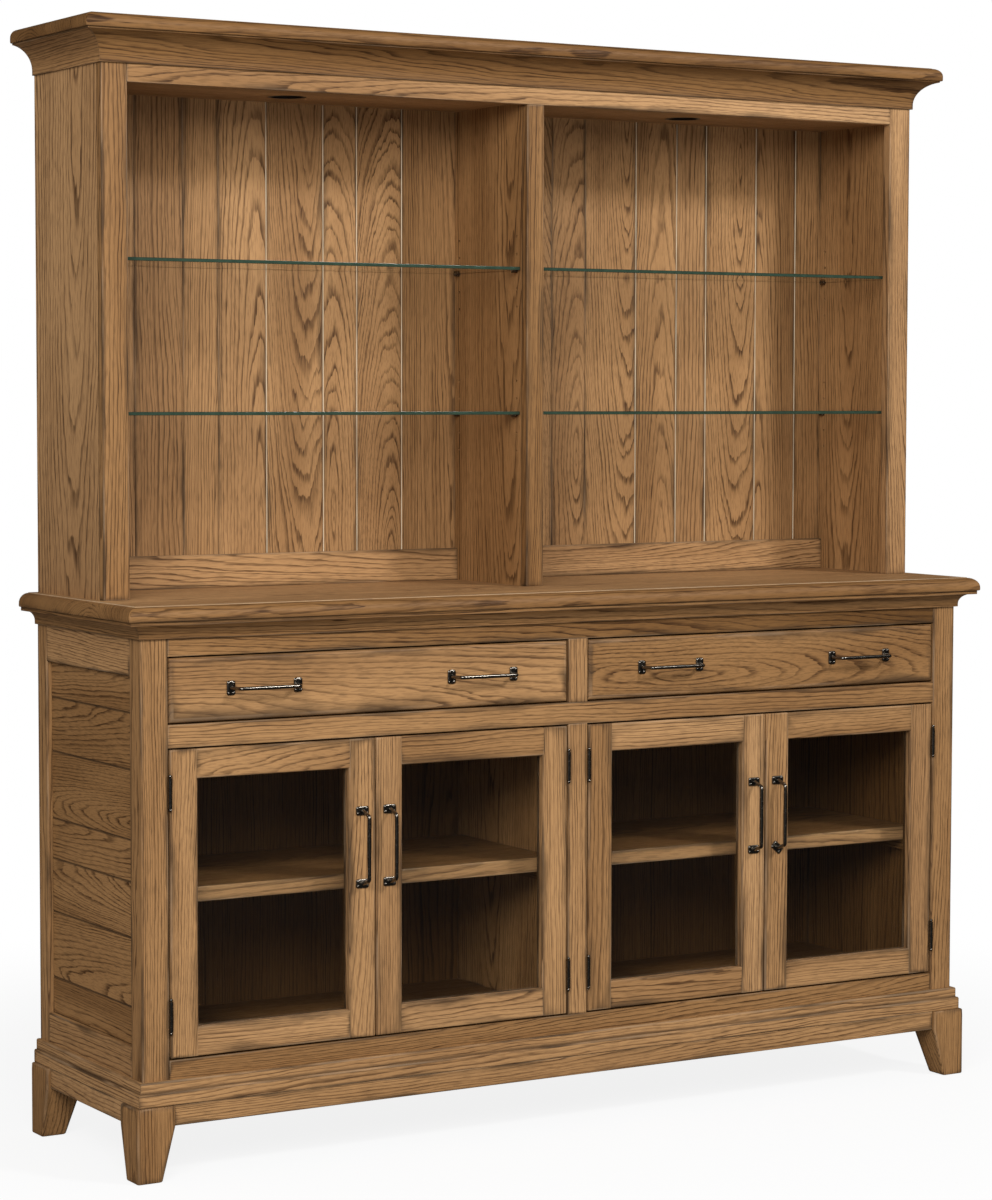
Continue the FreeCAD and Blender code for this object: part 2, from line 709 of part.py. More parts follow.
def shelf_pin(name, reach_low, shank_low, pin_y, low):
    """One pin: its shank and blade start at the given X, the blade's top is the shelf's underside."""
    shank = rod(
        f"{name}_shank", (shank_low, pin_y, low - shelf_pin_radius), shelf_pin_radius,
        shelf_pin_depth + shelf_pin_reach, ALONG_X,
    )
    blade_half = shelf_pin_blade_width / 2
    blade = board(
        f"{name}_blade", (reach_low, pin_y - blade_half, low - shelf_pin_blade_thickness),
        (reach_low + shelf_pin_reach, pin_y + blade_half, low),
    )
    return fused(name, [shank, blade])


pins = []
for level, low in enumerate(shelf_lows):
    for row, pin_y in enumerate(pin_rows):
        pins.append(shelf_pin(
            f"end_pin_{level}_{row}", -hutch_inner, -hutch_inner - shelf_pin_depth, pin_y, low
        ))
        pins.append(shelf_pin(
            f"divider_pin_{level}_{row}", -divider_half - shelf_pin_reach, -divider_half - shelf_pin_reach,
            pin_y, low
        ))
node("shelf_pins", both_sides(pins))


# Pulls, shared by the drawers and the doors.
def turned_plate(plate, x, z, angle):
    """A plate that has worked loose and turned on its screw."""
    turn = doc.addObject("Part::Compound", f"{plate.Name}_turned")
    turn.Links = [plate]
    centre = Vector(x.value, 0, z.value)
    turn.Placement = FreeCAD.Placement(Vector(), FreeCAD.Rotation(Vector(0, 1, 0), angle), centre)
    return turn


def pull(name, x, z, upright, behind, turn=0):
    """One pull on a face at y = face: a bent bar, then a plate and a screw at each end. Also gives the holes
    that the screws need in the wood, which is as thick as behind. turn is how far one plate has turned."""
    leg_half = pull_span / 2
    bend_half = leg_half - pull_leg_lean
    bar_y = face - pull_projection
    plate_face = face - pull_plate_thickness
    wide, tall = pull_plate_width, pull_plate_length
    if upright:
        wide, tall = tall, wide

    def along(offset):
        """The place on the bar's line that lies so far from the middle of the pull."""
        return (x, z + offset) if upright else (x + offset, z)

    bend_x, bend_z = along(-bend_half)
    grip_turn = None if upright else ALONG_X
    bar_pieces = [rod(f"{name}_grip", (bend_x, bar_y, bend_z), pull_bar_radius, bend_half * 2, grip_turn)]
    solids = []
    holes = []
    lean = pull_leg_lean.value / (pull_projection - pull_plate_thickness).value
    for end, sign in (("a", -1), ("b", 1)):
        bend_x, bend_z = along(bend_half * sign)
        bend = (bend_x, bar_y, bend_z)
        leg_run = Vector(0, 1, lean * sign) if upright else Vector(lean * sign, 1, 0)
        leg_turn = FreeCAD.Rotation(Vector(0, 0, 1), leg_run)
        bar_pieces.append(ball(f"{name}_bend_{end}", bend, pull_bar_radius))
        bar_pieces.append(rod(
            f"{name}_leg_{end}", bend, pull_bar_radius, pull_projection + pull_leg_lean, leg_turn
        ))
        foot_x, foot_z = along(leg_half * sign)
        plate = prism(
            f"{name}_plate_{end}", "XZ_Plane", rectangle(wide, tall), pull_plate_thickness,
            (foot_x - wide / 2, face, foot_z - tall / 2),
        )
        front = -pull_plate_thickness.value
        ease_edges(plate, "Chamfer", pull_plate_bevel, lambda box: lies_at(box.YMin, box.YMax, front))
        if turn and sign < 0:
            plate = turned_plate(plate, foot_x, foot_z, turn)
        screw_length = behind + pull_plate_thickness
        drill = rod(
            f"{name}_drill_{end}", (foot_x, plate_face - cut_overrun, foot_z),
            pull_screw_radius + pull_screw_play, screw_length + cut_overrun * 2, ALONG_Y,
        )
        shank = rod(
            f"{name}_shank_{end}", (foot_x, plate_face, foot_z), pull_screw_radius, screw_length, ALONG_Y
        )
        head = rod(
            f"{name}_head_{end}", (foot_x, face + behind, foot_z), pull_screw_head_radius,
            pull_screw_head_height, ALONG_Y,
        )
        solids.append(cut(f"{name}_drilled_plate_{end}", plate, [drill]))
        solids.append(fused(f"{name}_screw_{end}", [shank, head]))
        holes.append(drill)
    wall = board(
        f"{name}_wall", (x - pull_span, plate_face, z - pull_span),
        (x + pull_span, face + behind, z + pull_span),
    )
    solids.append(cut(f"{name}_bar", fused(f"{name}_raw_bar", bar_pieces), [wall]))
    return solids, holes


# Drawers: a bevelled front on a plain box, two pulls, and a three-part slide at each side.
drawer_box_low = drawer_low + drawer_floor_gap
drawer_box_high = drawer_box_low + drawer_side_height
drawer_rear = base_back_face - drawer_rear_gap
slide_start = rail_back + slide_setback
slide_end = drawer_rear - slide_rear_gap


def channel(name, wall, sign, near, far, half_height, web_near):
    """One folded steel channel of a slide. near and far are its limits out from the wall that the slide
    is fixed beside, and its web lies on the near or on the far one."""
    web = (near, near + slide_metal) if web_near else (far - slide_metal, far)
    low = slide_middle - half_height
    high = slide_middle + half_height
    pieces = []
    for part, limits, part_low, part_high in (
        ("web", web, low, high),
        ("lower_flange", (near, far), low, low + slide_metal),
        ("upper_flange", (near, far), high - slide_metal, high),
    ):
        left, right = (wall + limit * sign for limit in limits[::sign])
        pieces.append(board(
            f"{name}_{part}", (left, slide_start, part_low), (right, slide_end, part_high)
        ))
    return fused(name, pieces)


half_outer = slide_height / 2
half_middle = half_outer - slide_metal - slide_play
half_inner = half_middle - slide_metal - slide_play
middle_near = slide_metal + slide_play
inner_near = middle_near + slide_metal + slide_play
cabinet_channels = []
for side, left, right in (("left", bay_left, bay_right), ("right", -bay_right, -bay_left)):
    name = f"drawer_{side}"
    middle = (left + right) / 2
    front_low = drawer_low + drawer_gap
    front_shape = rectangle(right - left - drawer_gap * 2, drawer_opening_height - drawer_gap * 2)
    front = prism(
        f"{name}_front_board", "XZ_Plane", front_shape, drawer_front_thickness,
        (left + drawer_gap, face + drawer_front_thickness, front_low),
    )
    front_face = -drawer_front_thickness.value
    ease_edges(front, "Chamfer", drawer_front_bevel, lambda box: lies_at(box.YMin, box.YMax, front_face))
    box_left = left + slide_width
    box_right = right - slide_width
    inner_left = box_left + drawer_side_thickness
    inner_right = box_right - drawer_side_thickness
    box_front = face + drawer_front_thickness
    bottom_low = drawer_box_low + drawer_bottom_rise
    node(f"{name}_box", [
        board(f"{name}_side_a", (box_left, box_front, drawer_box_low),
              (inner_left, drawer_rear, drawer_box_high)),
        board(f"{name}_side_b", (inner_right, box_front, drawer_box_low),
              (box_right, drawer_rear, drawer_box_high)),
        board(f"{name}_rear", (inner_left, drawer_rear - drawer_side_thickness, drawer_box_low),
              (inner_right, drawer_rear, drawer_box_high)),
        board(f"{name}_bottom", (inner_left, box_front, bottom_low),
              (inner_right, drawer_rear - drawer_side_thickness, bottom_low + drawer_bottom_thickness)),
    ])
    solids = []
    holes = []
    for number, sign in enumerate((-1, 1)):
        more_solids, more_holes = pull(
            f"{name}_pull_{number}", middle + drawer_pull_spacing / 2 * sign, (drawer_low + drawer_high) / 2,
            False, drawer_front_thickness,
        )
        solids += more_solids
        holes += more_holes
    node(f"{name}_pulls", solids)
    node(f"{name}_front", [cut(f"{name}_front_drilled", front, holes)])
    middle_channels = []
    inner_channels = []
    for number, (wall, sign) in enumerate(((left, 1), (right, -1))):
        cabinet_channels.append(channel(
            f"{name}_cabinet_channel_{number}", wall, sign, zero, slide_metal + slide_flange, half_outer, True
        ))
        middle_channels.append(channel(
            f"{name}_middle_channel_{number}", wall, sign, middle_near,
            middle_near + slide_metal + slide_flange, half_middle, True,
        ))
        inner_channels.append(channel(
            f"{name}_inner_channel_{number}", wall, sign, inner_near, slide_width, half_inner, False
        ))
    node(f"{name}_middle_slides", middle_channels)
    node(f"{name}_inner_slides", inner_channels)
node("slide_cabinet_channels", cabinet_channels)

# Doors: grooved stiles, rails coped to them, and glass in the groove. The left pair is built and mirrored.
door_width = (bay_right - bay_left - door_gap * 3) / 2
door_foot = door_low + door_gap
door_head = door_high - door_gap
door_height = door_head - door_foot
groove_front = door_glass_setback
groove_rear = groove_front + door_glass_thickness + door_glass_play * 2


def door_section(width):
    """Section of a stile or rail, outer edge at zero and front face at zero: eased outer corner, sloped
    sticking on the inner corner, and the groove for the glass."""
    groove = width - door_groove_depth
    return [
        (door_edge_ease, zero),
        (width - door_sticking, zero),
        (width, door_sticking),
        (width, groove_front),
        (groove, groove_front),
        (groove, groove_rear),
        (width, groove_rear),
        (width, door_thickness),
        (zero, door_thickness),
        (zero, door_edge_ease),
    ]


RAIL_TURN = FreeCAD.Rotation(Vector(0, 0, 1), Vector(0, 1, 0), Vector(-1, 0, 0), "ZXY")


def hinge(name, frame_edge, sign, middle_z):
    """A ball-tipped butt hinge. sign points from the frame to the door. The frame's leaf has the two end
    knuckles, the door's leaf the middle one, and a pin runs through all three."""
    axis_x = frame_edge + door_gap / 2 * sign
    axis_y = face - hinge_knuckle_radius - hinge_face_play
    low = middle_z - hinge_length / 2
    third = hinge_length / 3
    hole = rod(
        f"{name}_bore", (axis_x, axis_y, low - cut_overrun), hinge_pin_radius + hinge_pin_play,
        hinge_length + cut_overrun * 2,
    )

    def leaf(part, edge, inward, spans):
        left, right = edge, edge + hinge_leaf_thickness * inward
        if inward < 0:
            left, right = right, left
        pieces = [board(
            f"{name}_{part}_plate", (left, face, low), (right, face + hinge_leaf_depth, low + hinge_length)
        )]
        for number, (start, end) in enumerate(spans):
            pieces.append(board(f"{name}_{part}_neck_{number}", (left, axis_y, start), (right, face, end)))
            pieces.append(rod(
                f"{name}_{part}_knuckle_{number}", (axis_x, axis_y, start), hinge_knuckle_radius, end - start
            ))
        return cut(f"{name}_{part}_leaf", fused(f"{name}_{part}_blank", pieces), [hole])

    frame_leaf = leaf("frame", frame_edge, sign, [(low, low + third), (low + third * 2, low + hinge_length)])
    door_leaf = leaf("door", frame_edge + door_gap * sign, -sign, [
        (low + third + hinge_knuckle_play, low + third * 2 - hinge_knuckle_play)
    ])
    tip = hinge_tip_radius + hinge_tip_play
    pin = fused(f"{name}_pin", [
        rod(f"{name}_pin_shank", (axis_x, axis_y, low - tip), hinge_pin_radius, hinge_length + tip * 2),
        ball(f"{name}_lower_tip", (axis_x, axis_y, low - tip), hinge_tip_radius),
        ball(f"{name}_upper_tip", (axis_x, axis_y, low + hinge_length + tip), hinge_tip_radius),
    ])
    return frame_leaf, door_leaf, pin


frame_leaves = []
hinge_pins = []
for place_name, left, hinge_edge, hinge_sign, handle_edge in (
    ("outer", bay_left + door_gap, bay_left, 1, bay_left + door_gap + door_width),
    ("inner", bay_left + door_gap * 2 + door_width, bay_right, -1, bay_left + door_gap * 2 + door_width),
):
    name = f"door_left_{place_name}"
    right = left + door_width
    middle = (left + right) / 2
    stile = prism(
        f"{name}_stile", "XY_Plane", door_section(door_stile_width), door_height, (left, face, door_foot)
    )
    stile_twin = mirrored(f"{name}_stile_twin", stile, "x", middle)
    reach = door_stile_width - door_groove_depth
    rail = prism(
        f"{name}_rail_run", "XY_Plane", door_section(door_rail_width), door_width - reach * 2,
        (right - reach, face, door_foot), RAIL_TURN,
    )
    lower_rail = cut(f"{name}_rail", rail, [stile, stile_twin])
    upper_rail = mirrored(f"{name}_rail_twin", lower_rail, "z", (door_foot + door_head) / 2)
    edge_x = door_stile_width - door_groove_depth + door_glass_play
    edge_z = door_rail_width - door_groove_depth + door_glass_play
    pane_front = face + groove_front + door_glass_play
    pane = board(
        f"{name}_pane", (left + edge_x, pane_front, door_foot + edge_z),
        (right - edge_x, pane_front + door_glass_thickness, door_head - edge_z),
    )
    handle_x = handle_edge - door_stile_width / 2 * hinge_sign
    hinges = [
        hinge(f"{name}_hinge_{number}", hinge_edge, hinge_sign, middle_z)
        for number, middle_z in enumerate((door_foot + hinge_inset, door_head - hinge_inset))
    ]
    frame_leaves += [leaves[0] for leaves in hinges]
    hinge_pins += [leaves[2] for leaves in hinges]
    door_leaves = [leaves[1] for leaves in hinges]
    for bay, flip in (("left", 1), ("right", -1)):
        door = f"door_{bay}_{place_name}"
        loose = turned_plate_angle if door == "door_right_outer" else 0
        solids, holes = pull(
            f"{door}_pull_parts", handle_x * flip, door_low + door_pull_rise, True, door_thickness, loose
        )
        stiles = [stile, stile_twin]
        rest = [lower_rail, upper_rail, pane] + door_leaves
        if flip < 0:
            stiles = [mirrored(f"{piece.Name}_right", piece) for piece in stiles]
            rest = [mirrored(f"{piece.Name}_right", piece) for piece in rest]
        drilled = 1 if place_name == "outer" else 0
        stiles[drilled] = cut(f"{door}_handle_stile", stiles[drilled], holes)
        node(f"{door}_frame", stiles + rest[:2])
        node(f"{door}_glass", rest[2:3])
        node(f"{door}_hinge_leaves", rest[3:])
        node(f"{door}_pull", solids)
node("hinge_frame_leaves", both_sides(frame_leaves))
node("hinge_pins", both_sides(hinge_pins))

doc.recompute()
faults = [item.Name for item in doc.Objects if "Invalid" in item.State or "Error" in item.State]
for piece, count in nodes:
    shape = piece.Shape
    if shape.isNull() or not shape.isValid() or len(shape.Solids) != count:
        faults.append(f"{piece.Label}: {len(shape.Solids)} solids where {count} are meant")
if faults:
    raise RuntimeError("; ".join(faults))
os.makedirs("parts", exist_ok=True)
for piece, count in nodes:
    piece.Shape.exportStep(f"parts/{piece.Label}.step")
print(f"{len(nodes)} nodes, {sum(count for piece, count in nodes)} solids")
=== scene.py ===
import math

import bmesh
import bpy
import numpy as np
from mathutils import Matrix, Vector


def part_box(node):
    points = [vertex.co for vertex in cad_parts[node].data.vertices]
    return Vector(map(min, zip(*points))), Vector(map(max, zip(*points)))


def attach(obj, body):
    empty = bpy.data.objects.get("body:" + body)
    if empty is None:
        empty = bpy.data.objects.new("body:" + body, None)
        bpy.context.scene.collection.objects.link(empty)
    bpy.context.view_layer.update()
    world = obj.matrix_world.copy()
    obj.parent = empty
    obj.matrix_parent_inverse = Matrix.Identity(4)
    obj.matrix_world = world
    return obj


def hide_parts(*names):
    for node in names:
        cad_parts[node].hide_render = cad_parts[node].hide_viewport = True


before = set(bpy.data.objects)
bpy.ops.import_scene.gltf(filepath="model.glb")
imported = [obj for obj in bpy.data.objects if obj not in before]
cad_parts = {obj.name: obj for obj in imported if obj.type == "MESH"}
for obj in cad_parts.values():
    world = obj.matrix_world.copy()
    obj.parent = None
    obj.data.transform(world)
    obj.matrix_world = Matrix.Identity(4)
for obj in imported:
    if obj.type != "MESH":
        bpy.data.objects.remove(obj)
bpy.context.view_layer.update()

# Base posts: four square uprights of stained oak at the corners of the base, standing on the feet.
# Their arrises are eased by hand and rubbed with a dark glaze, and the very edge is pale, partly worn and
# partly a painted highlight.

# Points on a rounded corner, and places of the points next to it, in metres or as shares of a short side.
arc_count = 5
edge_steps = np.array((0.003, 0.008, 0.02, 0.05))
edge_step_shares = np.array((0.08, 0.18, 0.3, 0.42))
# The least turn, in radians, that counts as an edge, and a distance from an edge that no glaze reaches.
sharp_turn = 0.6
no_edge = 0.2


def eased_outline(corners, ease):
    """Closed section through its corners, anticlockwise. Each corner becomes an arc of the ease radius that
    touches both of its sides, and each straight gets points close to its ends, a few millimetres apart at
    first and then wider. Gives the points, their outward normals, and how far each point lies from the
    nearest outer corner and from the nearest inner corner."""
    corners = np.asarray(corners, float)
    radius = np.broadcast_to(np.asarray(ease, float), len(corners))
    ahead = np.roll(corners, -1, axis=0) - corners
    length = np.linalg.norm(ahead, axis=1)
    after = ahead / length[:, None]
    before = np.roll(after, 1, axis=0)
    turn = np.arctan2(
        before[:, 0] * after[:, 1] - before[:, 1] * after[:, 0], (before * after).sum(axis=1)
    )
    side = np.where(turn >= 0, 1.0, -1.0)
    reach = radius * np.tan(np.abs(turn) / 2)
    normal = np.stack((before[:, 1], -before[:, 0]), axis=-1)
    centre = corners - reach[:, None] * before - (side * radius)[:, None] * normal
    first_angle = np.arctan2(normal[:, 1], normal[:, 0])
    angle = first_angle[:, None] + turn[:, None] * np.linspace(0, 1, arc_count)
    arc_normal = np.stack((np.cos(angle), np.sin(angle)), axis=-1)
    arc = centre[:, None] + (side * radius)[:, None, None] * arc_normal
    run = length - reach - np.roll(reach, -1)
    near = np.minimum(edge_steps, run[:, None] * edge_step_shares)
    step = np.concatenate((near, run[:, None] - near[:, ::-1]), axis=1)
    start = corners + reach[:, None] * after
    straight = start[:, None] + step[..., None] * after[:, None]
    straight_normal = np.broadcast_to(
        np.stack((after[:, 1], -after[:, 0]), axis=-1)[:, None], straight.shape
    )
    away = run[:, None] - step

    def gap_to(wanted):
        """Distance from each point to the nearer end of its straight that is a wanted corner."""
        here = np.where(wanted, 0.0, no_edge)
        on_arc = np.repeat(here[:, None], arc_count, axis=1)
        from_start = np.where(wanted[:, None], step, no_edge)
        from_end = np.where(np.roll(wanted, -1)[:, None], away, no_edge)
        return np.concatenate((on_arc, np.minimum(from_start, from_end)), axis=1).ravel()

    points = np.concatenate((arc, straight), axis=1).reshape(-1, 2)
    normals = np.concatenate((arc_normal, straight_normal), axis=1).reshape(-1, 2)
    return points, normals, gap_to(turn > sharp_turn), gap_to(turn < -sharp_turn)


def skin(rings):
    """Joins rings with the same number of points into a closed surface: a band of four-sided faces from each
    ring to the next, and a flat cover over the first and over the last ring."""
    levels, count = rings.shape[:2]
    index = np.arange(levels * count).reshape(levels, count)
    ahead = np.roll(index, -1, axis=1)
    bands = np.stack((index[:-1], ahead[:-1], ahead[1:], index[1:]), axis=-1).reshape(-1, 4)
    return rings.reshape(-1, 3), (bands, np.stack((index[0][::-1], index[-1])))


oak_draws = np.random.default_rng(1871)
# The trunk that a board is sawn from: its length, how far its heart lies to one side of the board and below
# it, how much the heart leans and wanders along the board, and how far the rings are spread.
trunk_length = 9
aside_least, aside_range = 0.02, 0.11
below_least, below_range = 0.028, 0.05
lean_least, lean_range, lean_of_arches = 0.010, 0.030, 0.14
wander = 0.025
spread_least, spread_range = 0.75, 0.6


def figured(points, faces, arris, hollow, grain_axis, thin_axis, figure=None, tone_and_shade=None):
    """Gives a piece of oak the place it was sawn from: coordinates along the trunk, across it and out from
    its heart, drawn anew for each piece, with the heart line a little out of true so that flat-sawn faces
    show arches. figure sets how far the heart lies to one side, from 0 for arches to 1 for straight grain."""
    cross_axis = 3 - grain_axis - thin_axis
    middle = (points.min(axis=0) + points.max(axis=0)) / 2
    along, across, out = ((points - middle)[:, axis] for axis in (grain_axis, cross_axis, thin_axis))
    draw = oak_draws.random(8)
    aside = draw[0] if figure is None else figure
    heart_side = 1 if draw[1] > 0.5 else -1
    heart_aside = heart_side * (aside_least + aside_range * aside) * (0.6 + 0.4 * draw[2])
    lean_side = 1 if draw[4] > 0.5 else -1
    lean = (lean_least + (lean_range + lean_of_arches * (1 - aside) ** 3) * draw[3]) * lean_side
    spread = spread_least + spread_range * draw[7]
    grain = np.stack((
        along + trunk_length * draw[5],
        spread * (across + heart_aside + wander * along * (draw[6] - 0.5)),
        spread * (out + below_least + below_range * draw[2] + lean * along),
    ), axis=-1)
    # tone_and_shade is a board's own tone, and on some boards it also holds painted shade, on a few painted
    # light.
    shade = oak_draws.random() if tone_and_shade is None else tone_and_shade
    tone_and_shade = np.full(len(points), shade)
    return {"points": points, "faces": faces, "arris": arris, "hollow": hollow, "grain": grain, "tone_and_shade": tone_and_shade}


# How far in a small round has gone when it is half turned, as a share of its radius.
half_turned = 0.29


def carried(outline, starts, ends, ease, origin, along, across, out):
    """An outline carried along a straight path. starts and ends give, for each point of the outline, where
    its line begins and stops, so that ends can be square or mitred, and both ends are drawn in by the ease.
    along, across and out are world axes as numbers from 1, with a minus sign for one that runs back."""
    points, normals, arris, hollow = outline
    starts = np.broadcast_to(starts, len(points))
    ends = np.broadcast_to(ends, len(points))
    length = (ends - starts).min()
    turn = np.array((0.0, half_turned, 1.0)) * ease
    near = ease + np.minimum(edge_steps, (length - 2 * ease) * edge_step_shares)
    inset = np.concatenate((turn[::-1], np.zeros(2 * len(near)), turn))
    near = np.concatenate((turn, near))
    lines = np.concatenate((starts + near[:, None], ends - near[::-1, None]))
    section = points - normals * inset[:, None, None]
    rings = np.empty(lines.shape + (3,))
    for axis, values in ((along, lines), (across, section[..., 0]), (out, section[..., 1])):
        place = int(abs(axis)) - 1
        rings[..., place] = origin[place] + math.copysign(1, axis) * values
    from_end = np.concatenate((near, near[::-1])) - ease
    gap = np.minimum(np.maximum(from_end, 0)[:, None], arris)
    hollow = np.broadcast_to(hollow, gap.shape)
    vertices, faces = skin(rings)
    return vertices, faces, gap.ravel(), hollow.ravel()


def board(low, high, grain_axis, thin_axis, ease=0.0012, figure=None, tone_and_shade=None):
    """A straight board between two corners, its section a rectangle with eased corners, carried along the
    grain."""
    low, high = np.array(low, float), np.array(high, float)
    cross_axis = 3 - grain_axis - thin_axis
    size = high - low
    width, depth = size[cross_axis], size[thin_axis]
    outline = eased_outline(((0, 0), (width, 0), (width, depth), (0, depth)), ease)
    shape = carried(
        outline, 0.0, size[grain_axis], ease, low, grain_axis + 1, cross_axis + 1, thin_axis + 1
    )
    return figured(*shape, grain_axis, thin_axis, figure, tone_and_shade)


# Faces that meet at a smaller angle are shaded as one round surface.
smooth_angle = math.radians(38)


def assembled(name, pieces, material, body, *nodes):
    """One object from several closed pieces, at the origin, carrying each piece's own grain, tone with any
    painted shade, and edge distances. It stands for the CAD nodes named and moves with their body."""
    counts = np.cumsum([0] + [len(piece["points"]) for piece in pieces])
    faces = []
    for start, piece in zip(counts, pieces):
        bands, covers = piece["faces"]
        faces += (bands + start).tolist() + (covers + start).tolist()
    mesh = bpy.data.meshes.new(name)
    mesh.from_pydata(np.concatenate([piece["points"] for piece in pieces]), [], faces)
    for label, kind, field in (
        ("grain", "FLOAT_VECTOR", "vector"), ("tone_and_shade", "FLOAT", "value"),
        ("arris", "FLOAT", "value"), ("hollow", "FLOAT", "value"), ("glint", "FLOAT", "value"),
    ):
        if label in pieces[0]:
            values = np.concatenate([piece[label] for piece in pieces]).astype(np.float32)
            mesh.attributes.new(label, kind, "POINT").data.foreach_set(field, values.ravel())
    shell = bmesh.new()
    shell.from_mesh(mesh)
    bmesh.ops.recalc_face_normals(shell, faces=shell.faces)
    shell.to_mesh(mesh)
    shell.free()
    mesh.shade_smooth()
    mesh.set_sharp_from_angle(angle=smooth_angle)
    mesh.materials.append(material)
    made = bpy.data.objects.new(name, mesh)
    bpy.context.scene.collection.objects.link(made)
    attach(made, body)
    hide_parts(*nodes)
    return made


def feed(tree, node, inputs):
    """Sets each named input of a node to a value, or links it from another node's output."""
    for key, value in inputs.items():
        if isinstance(value, bpy.types.NodeSocket):
            tree.links.new(value, node.inputs[key])
        else:
            node.inputs[key].default_value = value


def shader_node(tree, kind, inputs=None, **settings):
    """A shader node with its settings and its inputs."""
    made = tree.nodes.new(kind)
    for key, value in settings.items():
        setattr(made, key, value)
    feed(tree, made, inputs or {})
    return made


def calc(tree, operation, *values):
    """One step of arithmetic on one, two or three values."""
    return shader_node(tree, "ShaderNodeMath", dict(enumerate(values)), operation=operation).outputs[0]


def ramp(tree, value, low, high, low_out=0.0, high_out=1.0):
    """A smooth step from one level to another."""
    inputs = {"Value": value, "From Min": low, "From Max": high, "To Min": low_out, "To Max": high_out}
    return shader_node(tree, "ShaderNodeMapRange", inputs, interpolation_type="SMOOTHSTEP").outputs[0]


def noise(tree, place, stretch, detail=2.0):
    """Soft noise, from 0 to 1, on coordinates stretched by its own factors."""
    scaled = shader_node(tree, "ShaderNodeVectorMath", {0: place, 1: stretch}, operation="MULTIPLY")
    inputs = {"Vector": scaled.outputs[0], "Scale": 1.0, "Detail": detail}
    return shader_node(tree, "ShaderNodeTexNoise", inputs).outputs[0]


def mixed(tree, amount, first, second):
    """A colour between two others."""
    return shader_node(tree, "ShaderNodeMix", {0: amount, 6: first, 7: second}, data_type="RGBA").outputs[2]


def node_group(name, inputs, outputs):
    """An empty shader group with its named sockets. Gives the group, its inputs and its output node."""
    tree = bpy.data.node_groups.new(name, "ShaderNodeTree")
    for way, sockets in (("INPUT", inputs), ("OUTPUT", outputs)):
        for label, kind in sockets.items():
            tree.interface.new_socket(label, in_out=way, socket_type=f"NodeSocket{kind}")
    return tree, tree.nodes.new("NodeGroupInput").outputs, tree.nodes.new("NodeGroupOutput")


oak_light = (0.432, 0.234, 0.091, 1)
oak_middle = (0.315, 0.162, 0.059, 1)
oak_dark = (0.090, 0.039, 0.012, 1)
oak_pore = (0.055, 0.025, 0.009, 1)
rings_per_metre = 190.0
uneven_per_metre, uneven_reach = 60.0, 2.4
pore_stain = 0.52
# What one step of tone adds to the hue, the saturation and the brightness, and what they are at tone zero.
tone_hue, plain_hue = 0.002, 0.498
tone_saturation, plain_saturation = -0.045, 1.0
tone_value, plain_value = 0.26, 0.87


def build_oak_figure():
    """Rings round the heart line, each with a dark porous start that fades out, bent by three sizes of noise,
    with calm stretches where the lines fade, fine pores and slow drifts of colour along the board."""
    tree, given, result = node_group(
        "oak_figure", {"Place": "Vector", "Tone": "Float"},
        {"Colour": "Color", "Height": "Float", "Pores": "Float"},
    )
    place, tone_and_shade = given["Place"], given["Tone"]

    def bent(stretch, reach):
        """Noise about zero, as far as its reach."""
        return calc(tree, "MULTIPLY", calc(tree, "SUBTRACT", noise(tree, place, stretch), 0.5), reach)

    split = shader_node(tree, "ShaderNodeSeparateXYZ", {0: place}).outputs
    squares = [calc(tree, "MULTIPLY", part, part) for part in (split[1], split[2])]
    from_heart = calc(tree, "SQRT", calc(tree, "ADD", *squares))
    sway = bent(stretch=(1.9, 9, 9), reach=0.026)
    wiggle = bent(stretch=(9, 46, 46), reach=0.0070)
    ragged = bent(stretch=(17, 330, 330), reach=0.0016)
    bends = calc(tree, "ADD", sway, calc(tree, "ADD", wiggle, ragged))
    ring_place = calc(tree, "ADD", from_heart, bends)
    ring_count = calc(tree, "MULTIPLY", ring_place, rings_per_metre)
    uneven = shader_node(
        tree, "ShaderNodeTexNoise",
        {"W": calc(tree, "MULTIPLY", ring_place, uneven_per_metre), "Scale": 1.0}, noise_dimensions="1D",
    ).outputs[0]
    uneven = calc(tree, "MULTIPLY", uneven, uneven_reach)
    ring_phase = calc(tree, "FRACT", calc(tree, "ADD", ring_count, uneven))
    fading = ramp(tree, ring_phase, 0.08, 0.48, 1.0, 0.0)
    early = calc(tree, "MULTIPLY", fading, ramp(tree, ring_phase, 0.0, 0.07))
    streaks = ramp(tree, noise(tree, place, (7, 360, 360)), 0.32, 0.62, 0.5, 1.0)
    calm = ramp(tree, noise(tree, place, (2.2, 26, 26)), 0.34, 0.58, 0.55, 1.0)
    early = calc(tree, "MULTIPLY", early, calc(tree, "MULTIPLY", streaks, calm))
    pore_noise = ramp(tree, noise(tree, place, (34, 560, 560), 1.0), 0.48, 0.64)
    pores = calc(tree, "MULTIPLY", pore_noise, calc(tree, "MULTIPLY_ADD", early, 0.5, 0.5))
    drift = ramp(tree, noise(tree, place, (1.1, 12, 12), 3.0), 0.3, 0.7)
    colour = mixed(tree, drift, oak_light, oak_middle)
    colour = mixed(tree, early, colour, oak_dark)
    colour = mixed(tree, calc(tree, "MULTIPLY", pores, pore_stain), colour, oak_pore)
    toned = shader_node(tree, "ShaderNodeHueSaturation", {
        "Hue": calc(tree, "MULTIPLY_ADD", tone_and_shade, tone_hue, plain_hue),
        "Saturation": calc(tree, "MULTIPLY_ADD", tone_and_shade, tone_saturation, plain_saturation),
        "Value": calc(tree, "MULTIPLY_ADD", tone_and_shade, tone_value, plain_value),
        "Color": colour,
    }).outputs[0]
    height = calc(tree, "MULTIPLY_ADD", pores, -1.0, 1.0)
    feed(tree, result, {"Colour": toned, "Height": height, "Pores": pores})
    return tree


